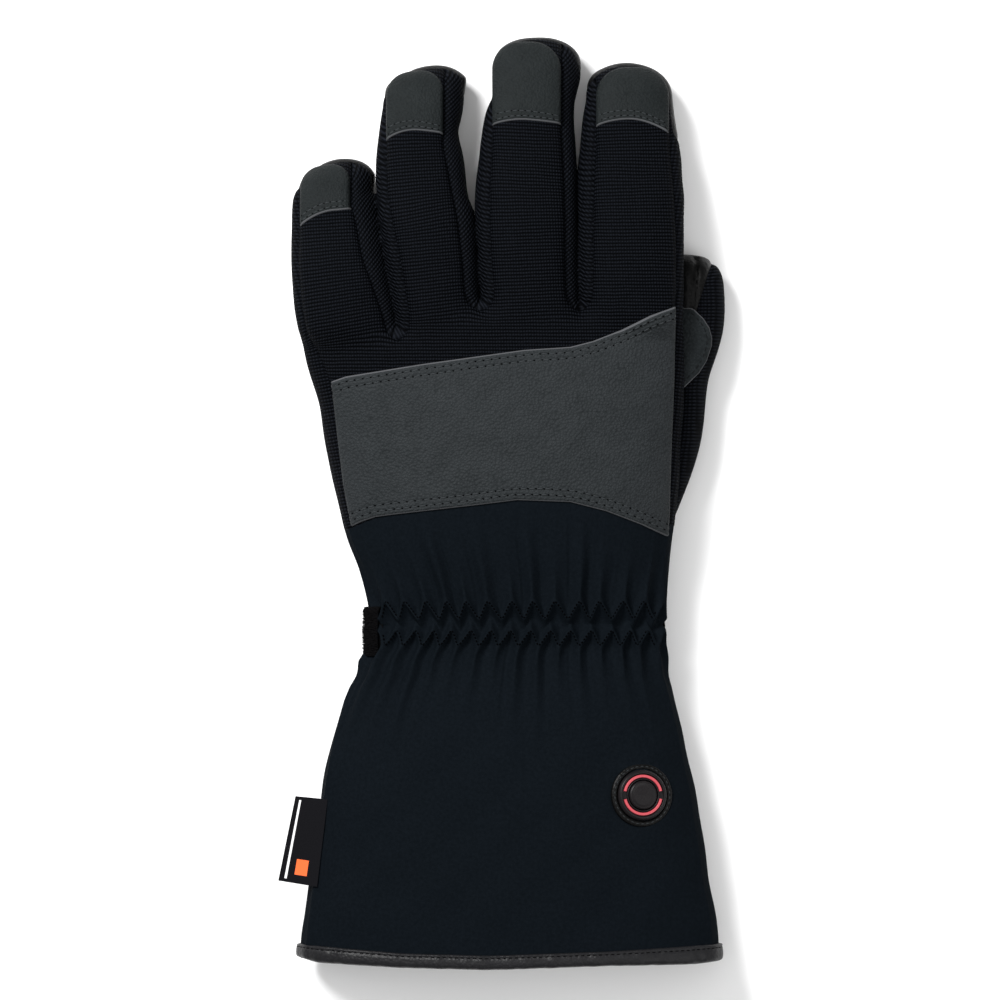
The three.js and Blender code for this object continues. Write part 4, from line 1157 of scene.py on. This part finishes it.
# Places across of the upper row's peaks and of the lower row's valleys from the little finger
# side, the length of the fold at each, and each row's place along and swing
UPPER_PEAKS = [-39.9, -33.3, -25.7, -18.5, -11.7, -4.1, 4.5, 11.7, 19.6, 28.3, 35.1, 43.7, 51.0]
LOWER_VALLEYS = [-40.8, -34.4, -27.6, -21.4, -14.9, -7.4, -0.5, 6.7, 13.9, 21.1, 28.3, 35.8, 43.0, 49.1]
UPPER_REACH = [7, 9, 12, 30, 9, 20, 8, 24, 10, 22, 12, 9, 8]
LOWER_REACH = [26, 22, 26, 12, 10, 14, 9, 20, 22, 10, 16, 9, 12, 14]
UPPER_ROW, UPPER_SWING = 4.5, 3.1
LOWER_ROW, LOWER_SWING = -5.6, 2.7
# Widths of the dip at a stitch row between the rows and outside them, its depth, the height of
# the folds and of the puffs between the rows, and how far a stitch row pulls the cloth
WIDE_DIP, NARROW_DIP, SEAM_DIP = 3.04, 2.28, 1.9
FOLD, PUFF, PULL_REACH = 3.8, 1.5, 14
# Length of the folds on the hidden side
HIDDEN_REACH = 11.0


def zigzag(turns):
    """Wave with straight sides and round turns, 1 at whole turns and -1 between."""
    wave = np.cos(2 * np.pi * turns)
    return np.arcsin(0.93 * wave) / math.asin(0.93)


def crease_reach(turns, values):
    """Length of the fold at each gather, read from the thumb side."""
    ordered = np.array(values[::-1], float)
    count = len(ordered)
    whole = np.round(turns).astype(int)
    return np.where(whole < count, ordered[np.minimum(whole, count - 1)], HIDDEN_REACH)


def gathers(y, k_upper, k_lower):
    """Height of the gathered cloth over the plain cuff."""
    upper_line = UPPER_ROW + UPPER_SWING * zigzag(k_upper)
    lower_line = LOWER_ROW - LOWER_SWING * zigzag(k_lower)
    to_upper = y - upper_line
    to_lower = y - lower_line
    near = np.minimum(np.abs(to_upper), np.abs(to_lower))
    between = (to_upper < 0) & (to_lower > 0)
    seam = 1 - np.exp(-(near / np.where(between, WIDE_DIP, NARROW_DIP)) ** 1.5)
    crease_up = np.abs(np.sin(np.pi * k_upper)) ** (0.8 + np.clip(np.abs(to_upper) / 12, 0, 1.2))
    crease_low = np.abs(np.sin(np.pi * k_lower)) ** (0.8 + np.clip(np.abs(to_lower) / 12, 0, 1.2))
    reach_up = crease_reach(k_upper, UPPER_REACH)
    reach_low = crease_reach(k_lower, LOWER_REACH)
    fade_up = np.exp(-(np.maximum(to_upper, 0) / reach_up) ** 1.4)
    fade_low = np.exp(-(np.maximum(-to_lower, 0) / reach_low) ** 1.4)
    above = to_upper > 0
    below = to_lower < 0
    fold = np.where(above, (crease_up - 0.6) * FOLD * fade_up,
                    np.where(below, (crease_low - 0.6) * FOLD * fade_low, PUFF))
    blend_up = np.exp(-(np.maximum(to_upper, 0) / PULL_REACH) ** 2)
    blend_low = np.exp(-(np.maximum(-to_lower, 0) / PULL_REACH) ** 2)
    pull = np.where(above, blend_up, np.where(below, blend_low, 1.0))
    return fold * mix(1.0, seam, pull) + (seam - 1) * SEAM_DIP * pull + 0.2


def cuff_grid():
    """Rows of points round the cuff, from its bowed seam with the hand down to the hem."""
    fine = np.concatenate([
        np.linspace(30, 13, 38)[:-1], np.linspace(13, -13, 88)[:-1], np.linspace(-13, -44, 56)[:-1],
        np.linspace(-44, -CUFF_LENGTH + 3, 54)])
    index = np.arange(COLUMNS)
    stack = np.stack([ring(v, 0) for v in np.linspace(30, 48, 19)])

    def at_heights(tops):
        at = np.clip(tops - 30, 0, 17.999)
        k = at.astype(int)
        share = (at - k)[:, None]
        return stack[k, index] * (1 - share) + stack[k + 1, index] * share

    ends = np.full(COLUMNS, 36.0)
    for _ in range(3):
        ends = np.clip(cuff_seam(at_heights(ends)[:, 0]), 31, 47.5)
    rows = [at_heights(mix(ends, 30.0, share)) for share in np.linspace(0, 1, 14)[:-1]]
    rows += [ring(y, 0) for y in fine]
    return np.stack(rows)


def grid_normals(grid):
    """Directions out of a grid of points that is closed round its columns."""
    ringwise = np.roll(grid, -1, 1) - np.roll(grid, 1, 1)
    out = np.cross(ringwise, -np.gradient(grid, axis=0))
    return out / np.maximum(np.linalg.norm(out, axis=2), 1e-9)[:, :, None]


def grid_faces(rows, columns, closed=True):
    """Triangles over a grid of points, joined round its columns when it is closed."""
    last = columns if closed else columns - 1
    a = np.arange(rows - 1)[:, None] * columns + np.arange(last)[None, :]
    b = np.arange(rows - 1)[:, None] * columns + (np.arange(last)[None, :] + 1) % columns
    quads = np.stack([a, b, b + columns, a + columns], 2).reshape(-1, 4)
    return triangles_of(quads[:, ::-1])


def side_value(points):
    _, _, middle, top, _ = section(points[:, 1])
    return points[:, 2] - (middle + CUFF_SIDE_SEAM * (top - middle))


def joined(*meshes):
    starts = np.cumsum([0] + [len(points) for points, _ in meshes[:-1]])
    return (np.concatenate([points for points, _ in meshes]),
            np.concatenate([faces + start for (_, faces), start in zip(meshes, starts)]))


def build_cuff():
    """Back and palm side of the cuff with its inside wall, and the stitches of the elastic rows."""
    upper_phase = phase(UPPER_PEAKS, 7.6)
    lower_phase = phase(LOWER_VALLEYS, 7.2)
    grid = cuff_grid()
    out = grid_normals(grid)
    y = grid[:, :, 1]
    x = grid[:, :, 0]
    lift = gathers(y, upper_phase[None, :], lower_phase[None, :])
    lift = lift * smooth_step(46, 24, y) * smooth_step(-62, -30, y)
    wave = (0.55 * np.sin(x * 0.11 + y * 0.06 + 1.1) * np.sin(y * 0.075 + 0.4)
            + 0.3 * np.sin(x * 0.23 - y * 0.11) * np.sin(y * 0.13 + 1.9))
    lift = lift + wave * smooth_step(-20, -50, y) * smooth_step(-118, -104, y)
    cuff_points = grid + out * lift[:, :, None]
    cuff_points[:, :, 2] = np.maximum(cuff_points[:, :, 2], 0.02)
    flat = cuff_points.reshape(-1, 3)
    side = side_value(grid.reshape(-1, 3))
    data = np.concatenate([flat, out.reshape(-1, 3), side[:, None]], 1)
    data, cuff_upper, cuff_lower = part(data, grid_faces(*grid.shape[:2]), 6)
    on_top = data[:, 2] > section(data[:, 1])[2] - 4
    side_near = np.where(on_top, line_distance(CUFF_SEAM, data[:, 0], data[:, 1]), 9)
    outer_points = data[:, :3] - unit(data[:, 3:6]) * (
        groove(data[:, 6], 0.5, 1.2) + groove(side_near, 1.0, 1.0))[:, None]
    inner = np.stack([ring(y, -WALL, 120) for y in np.linspace(44, -CUFF_LENGTH + 2, 30)])
    inner = inner.reshape(-1, 3)
    inner_data = np.concatenate([inner, side_value(inner)[:, None]], 1)
    inner_data, inner_upper, inner_lower = part(inner_data, grid_faces(30, 120)[:, ::-1], 3)
    halves = (("back", cuff_upper, inner_upper), ("palm", cuff_lower, inner_lower))
    for name, outer_part, inner_part in halves:
        points, faces = joined((outer_points, outer_part), (inner_data[:, :3], inner_part))
        make(f"cuff_{name}_cloth", points, faces, softshell, points[:, :2], [f"cuff_{name}"])
    cuff_drape = Drape(outer_points, cuff_upper)
    wrist = ring(0, 0)
    order = np.argsort(wrist[:, 0])
    order = order[(wrist[order, 2] > section(0)[2] + 6)]
    zigzags = []
    elastic = ((upper_phase, UPPER_ROW, UPPER_SWING), (lower_phase, LOWER_ROW, -LOWER_SWING))
    for turns, row_y, swing in elastic:
        line_y = row_y + swing * zigzag(turns[order])
        line_x = [np.interp(k, np.arange(COLUMNS), ring(v, 0)[:, 0]) for k, v in zip(order, line_y)]
        zigzags.append(np.stack([line_x, line_y], 1))
    lay_stitches("gather_stitches", cuff_drape, zigzags, 1.3, 0.3, dark_thread_and_hole_shade)


build_cuff()


# Hem binding

def hem_low(x):
    """Lowest edge of the binding, which sags in the middle."""
    return np.interp(x, (-73, -66, -35, -4, 38, 69, 79),
                     (-120.6, -122.1, -123.7, -124.4, -123.0, -122.6, -121.7))


def hem_top(x):
    """Edge of the binding on the cloth."""
    return np.interp(x, (-73, -35, -4, 38, 78), (-115.9, -118.8, -119.5, -118.1, -115.9))


# Section of the binding. along runs from its low edge at 0 to its edge on the cloth at 1, and grow
# is out of the cuff.
BINDING = table("along grow", [
    (1.03, 0.1), (1.0, 0.9), (0.95, 1.3), (0.88, 1.35), (0.82, 1.05), (0.75, 1.4), (0.6, 1.55), (0.4, 1.6),
    (0.2, 1.55), (0.08, 1.3), (0.0, 0.6), (-0.04, -0.6), (-0.05, -2.0), (-0.03, -3.4), (0.03, -4.6),
    (0.2, -5.1), (0.6, -5.1), (1.0, -5.0), (1.03, -3.9),
])


def build_hem():
    """Leather binding round the mouth, with one row of stitches."""
    loop_share = 2 * np.pi * np.arange(COLUMNS) / COLUMNS
    lump = (0.10 * np.sin(loop_share * 23 + 1.0) + 0.08 * np.sin(loop_share * 41 + 2.2)
            + 0.06 * np.sin(loop_share * 67 + 0.4))
    rows = []
    for share, grow in zip(BINDING["along"], BINDING["grow"]):
        points = ring(-120, grow, rise=1.5 if grow < 0.3 else 0.02 + grow)
        low, high = hem_low(points[:, 0]), hem_top(points[:, 0])
        points[:, 1] = mix(low, high, share) + 0.35 * lump
        rows.append(points)
    binding = np.stack(rows)
    binding_out = grid_normals(binding)
    weight = np.where(np.abs(BINDING["along"] - 0.5) < 0.46, 1.0, 0.3) * (BINDING["grow"] > 0)
    binding = binding + binding_out * (lump[None, :] * weight[:, None])[:, :, None]
    binding[:, :, 2] = np.maximum(binding[:, :, 2], 0.02)
    binding_faces = grid_faces(len(rows), COLUMNS)
    binding_flat = binding.reshape(-1, 3)
    make("hem_leather", binding_flat, binding_faces, binding_leather, binding_flat[:, :2],
         ["hem_binding"])
    stitch_row = 0.5 * (binding[4] + binding[5])
    stitch_out = grid_normals(binding)[4]
    closed_row = np.concatenate([stitch_row, stitch_row[:1]])
    pairs = spaced(closed_row, 2.15)
    pairs = pairs[pairs[:, :, 2].min(1) > 2.5]
    nearest = [np.argmin(((stitch_row - p) ** 2).sum(1)) for p in pairs.mean(1)]
    ways = unit(stitch_out[nearest])
    stitches("hem_stitches", pairs + ways[:, None, :] * 0.05, ways, 0.22, dark_thread_and_hole_shade)


build_hem()


# Strap and label

STRAP_MIDDLE = -3.4
STRAP_WIDTH = 18.0
LOOP_STEPS = 40
TUFTS = 2600


def strap_band(low_angle, high_angle, name, replaces, left_grow, right_grow, thick=1.5, steps=150):
    """Band round the palm side between two angles, lifted more at its left than at its right."""
    angles = np.linspace(low_angle, high_angle, steps)
    rows = []
    for place, grow_more in ((1.0, 0.0), (0.99, thick - 0.8), (0.9, thick - 0.1), (0.5, thick + 0.25),
                             (0.1, thick - 0.1), (0.01, thick - 0.8), (0.0, 0.0)):
        y = STRAP_MIDDLE + STRAP_WIDTH * (place - 0.5)
        share = 0.5 + 0.5 * np.cos(angles)
        grow = mix(left_grow, right_grow, share) + grow_more
        grow = grow - 1.6 * smooth_step(0.94 * math.pi, 0.88 * math.pi, angles)
        grow = grow - 1.1 * smooth_step(1.85 * math.pi, 2 * math.pi, angles)
        across, height = around(STRAP_MIDDLE, angles, grow)
        height = np.maximum(height, 0.05 + grow_more * 0.2)
        rows.append(np.stack([across, np.full(steps, y), height], 1))
    rows.append(rows[0])
    band = np.stack(rows)
    flat = band.reshape(-1, 3)
    faces = grid_faces(len(rows), steps, closed=False)
    make(name, flat, faces, webbing, flat[:, :2], replaces)
    return band


# Corners seen from above, from the seam's upper end round to its lower end
LABEL_CORNERS = np.array([(-62.5, -63.7), (-74.1, -62.6), (-80.3, -93.0), (-66.3, -95.1)])
LABEL_ACROSS, LABEL_DOWN = 14, 36
LABEL_HEIGHT = 26.0


def label_sheet():
    """Cloth folded at its outer edge and sewn into the side seam."""
    across = np.linspace(0, 1, LABEL_ACROSS)
    across = np.concatenate([across, across[-2::-1]])
    layer = np.where(np.arange(len(across)) < LABEL_ACROSS, 1, -1)
    down = np.linspace(0, 1, LABEL_DOWN)
    a, b, c, d = LABEL_CORNERS
    grid_points = []
    for t in down:
        inner_end, outer_end = mix(a, d, t), mix(b, c, t)
        plan = inner_end[None, :] * (1 - across[:, None]) + outer_end[None, :] * across[:, None]
        bulge = layer * 0.32 * np.sqrt(np.clip(1 - across ** 6, 0, 1))
        droop = 2.0 + 1.2 * t - 0.35 * math.sin(t * 5.0)
        height = LABEL_HEIGHT + 1.2 * t + bulge - droop * across
        grid_points.append(np.concatenate([plan, height[:, None]], 1))
    return np.array(grid_points)


def label_mark(label_grid, name, share_from, share_to, down_from, down_to, ink):
    """Plain printed patch on the label, placed by shares across and down."""
    across = np.linspace(share_from, share_to, 4)
    rows = []
    for t in np.linspace(down_from, down_to, 30):
        k = t * (LABEL_DOWN - 1)
        i = int(k)
        line = mix(label_grid[i, :LABEL_ACROSS], label_grid[i + 1, :LABEL_ACROSS], k - i)
        places = np.linspace(0, 1, LABEL_ACROSS)
        rows.append(np.stack([np.interp(across, places, line[:, j]) for j in range(3)], 1))
    marks = np.array(rows) + np.array([0, 0, 0.04])
    flat = marks.reshape(-1, 3)
    return make(name, flat, grid_faces(30, 4, closed=False)[:, ::-1], ink)


def build_strap():
    """Band round the palm side of the wrist, and its end with a loose pile."""
    strap_band(math.pi, math.pi * 2, "wrist_strap_web", ["wrist_strap"], 1.6, 0.3)
    loop_band = strap_band(
        math.pi * 0.885, math.pi * 0.998, "strap_loop_pile", ["strap_loop"], 1.9, 1.2, 1.9, LOOP_STEPS)
    seeded = np.random.default_rng(7)
    row_at = seeded.uniform(1.0, 5.0, TUFTS)
    col_at = seeded.uniform(0, LOOP_STEPS - 1.1, TUFTS)
    r0, c0 = row_at.astype(int), col_at.astype(int)
    fr, fc = (row_at - r0)[:, None], (col_at - c0)[:, None]
    base = (loop_band[r0, c0] * (1 - fr) * (1 - fc) + loop_band[r0 + 1, c0] * fr * (1 - fc)
            + loop_band[r0, c0 + 1] * (1 - fr) * fc + loop_band[r0 + 1, c0 + 1] * fr * fc)
    way_out = np.stack([base[:, 0] - 5, 0 * base[:, 0], base[:, 2] - 12], 1)
    away = unit(way_out + seeded.normal(0, 0.35, (TUFTS, 3)))
    tips = base + away * seeded.uniform(0.4, 1.35, TUFTS)[:, None]
    stitches("strap_loop_tufts", np.stack([base - away * 0.2, tips], 1),
             unit(seeded.normal(0, 1, (TUFTS, 3))), 0.11, pile)


def build_label():
    """Folded cloth label with a plain line and a plain square."""
    label_grid = label_sheet()
    label_flat = label_grid.reshape(-1, 3)
    label_faces = grid_faces(*label_grid.shape[:2], closed=False)
    label = make("side_label_cloth", label_flat, label_faces, label_cloth, label_flat[:, :2],
                 ["side_label"])
    label_mark(label_grid, "label_line", 0.80, 0.86, 0.04, 0.96, white_ink)
    label_mark(label_grid, "label_stripe", 0.30, 0.62, 0.72, 0.90, orange_ink)


build_strap()
build_label()


# Heat button

# Where its axis meets the cloth, in the frame's metres, and the direction out of the cuff there,
# both as the CAD has them
BUTTON_PLACE = Vector((0.04984, -0.10509, 0.03404))
BUTTON_NORMAL = Vector((0.28124, 0.05534, 0.95804)).normalized()
BUTTON_UP = (Vector((0, 1, 0)) - BUTTON_NORMAL * BUTTON_NORMAL.y).normalized()
BUTTON_RIGHT = BUTTON_UP.cross(BUTTON_NORMAL)
BUTTON_FRAME = np.array([BUTTON_RIGHT, BUTTON_UP, BUTTON_NORMAL])
BUTTON_ORIGIN = np.array(BUTTON_PLACE) / MM - ORIGIN
BUTTON_SIDES = 96
# Half the dark gap between the two lights in radians
LIGHT_GAP = 0.21


def on_button(points):
    """Points of the button's own space, set on the cuff."""
    return np.asarray(points, float) @ BUTTON_FRAME + BUTTON_ORIGIN


def turned(name, profile, material, replaces, body="glove"):
    """Ring made by turning a profile round the button's axis."""
    profile = np.array(profile, float)
    turn = 2 * np.pi * np.arange(BUTTON_SIDES) / BUTTON_SIDES
    ring_points = np.stack([
        profile[:, 0:1] * np.cos(turn)[None, :], profile[:, 0:1] * np.sin(turn)[None, :],
        np.repeat(profile[:, 1:2], BUTTON_SIDES, 1)], 2)
    flat = ring_points.reshape(-1, 3)
    faces = grid_faces(len(profile), BUTTON_SIDES)[:, ::-1]
    return make(name, on_button(flat), faces, material, flat[:, :2], replaces, body)


def rounded(corners, radius=0.25, steps=4):
    """Profile with its corners rounded."""
    corners = np.array(corners, float)
    points = [corners[0]]
    for before, here, after in zip(corners[:-2], corners[1:-1], corners[2:]):
        a, b = (here + (end - here) * min(radius / np.linalg.norm(end - here), 0.5)
                for end in (before, after))
        for t in np.linspace(0, 1, steps):
            points.append((1 - t) ** 2 * a + 2 * t * (1 - t) * here + t * t * b)
    points.append(corners[-1])
    return points


def light_arc(name, turn, replaces):
    """Half ring that lights up, closed at both ends."""
    angles = np.linspace(turn + LIGHT_GAP, turn + math.pi - LIGHT_GAP, 48)
    profile = np.array(rounded([
        (6.35, 0.8), (6.35, 1.5), (6.55, 1.68), (7.1, 1.68), (7.3, 1.5), (7.3, 0.8)], 0.2))
    rows = np.stack([profile[:, 0:1] * np.cos(angles), profile[:, 0:1] * np.sin(angles),
                     np.repeat(profile[:, 1:2], len(angles), 1)], 2)
    ends = []
    flat = rows.reshape(-1, 3)
    faces = grid_faces(len(profile), len(angles), closed=False)
    caps = []
    for column in (0, len(angles) - 1):
        hub = len(flat) + len(ends)
        ends.append(rows[:, column].mean(0))
        index = np.arange(len(profile)) * len(angles) + column
        caps += [(index[i], index[i + 1], hub) for i in range(len(profile) - 1)]
    points = np.concatenate([flat, np.array(ends)])
    return make(name, on_button(points), np.concatenate([faces, np.array(caps)]), red_light,
                points[:, :2], replaces)


def build_button():
    """Heat button. Its profiles are (radius, height over the cloth)."""
    patch_profile = rounded([
        (9.3, -1.4), (9.3, 0.15), (9.9, 0.55), (10.6, 0.45), (11.3, 0.1), (11.4, -1.0)], 0.3)
    turned("button_ring_leather", patch_profile, black_leather, ["button_patch"])
    body_profile = rounded([
        (9.1, -1.6), (9.1, 0.9), (8.4, 1.7), (7.7, 1.7), (7.65, 0.75), (6.05, 0.75), (6.0, 1.7), (5.55, 1.7),
        (5.5, -1.3), (0.001, -1.3)], 0.22)
    turned("button_shell", body_profile, rubber, ["button_body"])
    cap_profile = rounded([
        (5.2, -0.3), (5.2, 1.6), (4.6, 2.15), (4.1, 2.05), (3.6, 1.95), (0.001, 2.05)], 0.25)
    turned("button_press", cap_profile, rubber, ["button_cap"], "button")
    light_arc("light_upper_ring", 0.0, ["button_light_upper"])
    light_arc("light_lower_ring", math.pi, ["button_light_lower"])
    turn = np.linspace(0, 2 * np.pi, 120)
    ring_line = on_button(np.stack([10.35 * np.cos(turn), 10.35 * np.sin(turn), np.full(120, 0.52)], 1))
    pairs = spaced(ring_line, 1.9, 0.62)
    stitches("button_stitches", pairs, np.tile(np.array(BUTTON_NORMAL), (len(pairs), 1)), 0.15, pale_thread)


build_button()


# Camera, floor and light

scene = bpy.context.scene
# The photo is seen from straight above and far away.
camera = bpy.data.objects.new("camera", bpy.data.cameras.new("camera"))
camera.data.lens = 400
camera.data.sensor_width = 36
camera.location = (-0.0011, 0.0008, 4.020)
scene.collection.objects.link(camera)
scene.camera = camera

floor_mesh = bpy.data.meshes.new("floor")
floor_mesh.from_pydata([(-3, -3, 0), (3, -3, 0), (3, 3, 0), (-3, 3, 0)], [], [(0, 1, 2, 3)])
floor = bpy.data.objects.new("floor", floor_mesh)
floor.data.materials.append(plain_finish("paper", (0.9, 0.9, 0.9), 0.9, 0.1))
scene.collection.objects.link(floor)


def softbox(name, place, size, power):
    """Rectangular light that faces the middle of the floor."""
    lamp = bpy.data.lights.new(name, "AREA")
    lamp.shape = "RECTANGLE"
    lamp.size, lamp.size_y = size
    lamp.energy = power
    made = bpy.data.objects.new(name, lamp)
    made.location = place
    made.rotation_euler = (-Vector(place)).to_track_quat("-Z", "Y").to_euler()
    bpy.context.scene.collection.objects.link(made)


softbox("key", (-0.6, 0.7, 1.05), (0.5, 0.4), 34)
softbox("fill", (0.9, -0.4, 0.9), (0.8, 0.8), 6)
softbox("top", (0.0, 0.1, 1.6), (1.2, 1.2), 7)
world = bpy.data.worlds.new("studio")
world.use_nodes = True
world.node_tree.nodes["Background"].inputs["Color"].default_value = (1, 1, 1, 1)
world.node_tree.nodes["Background"].inputs["Strength"].default_value = 0.42
scene.world = world
scene.view_settings.view_transform = "Standard"
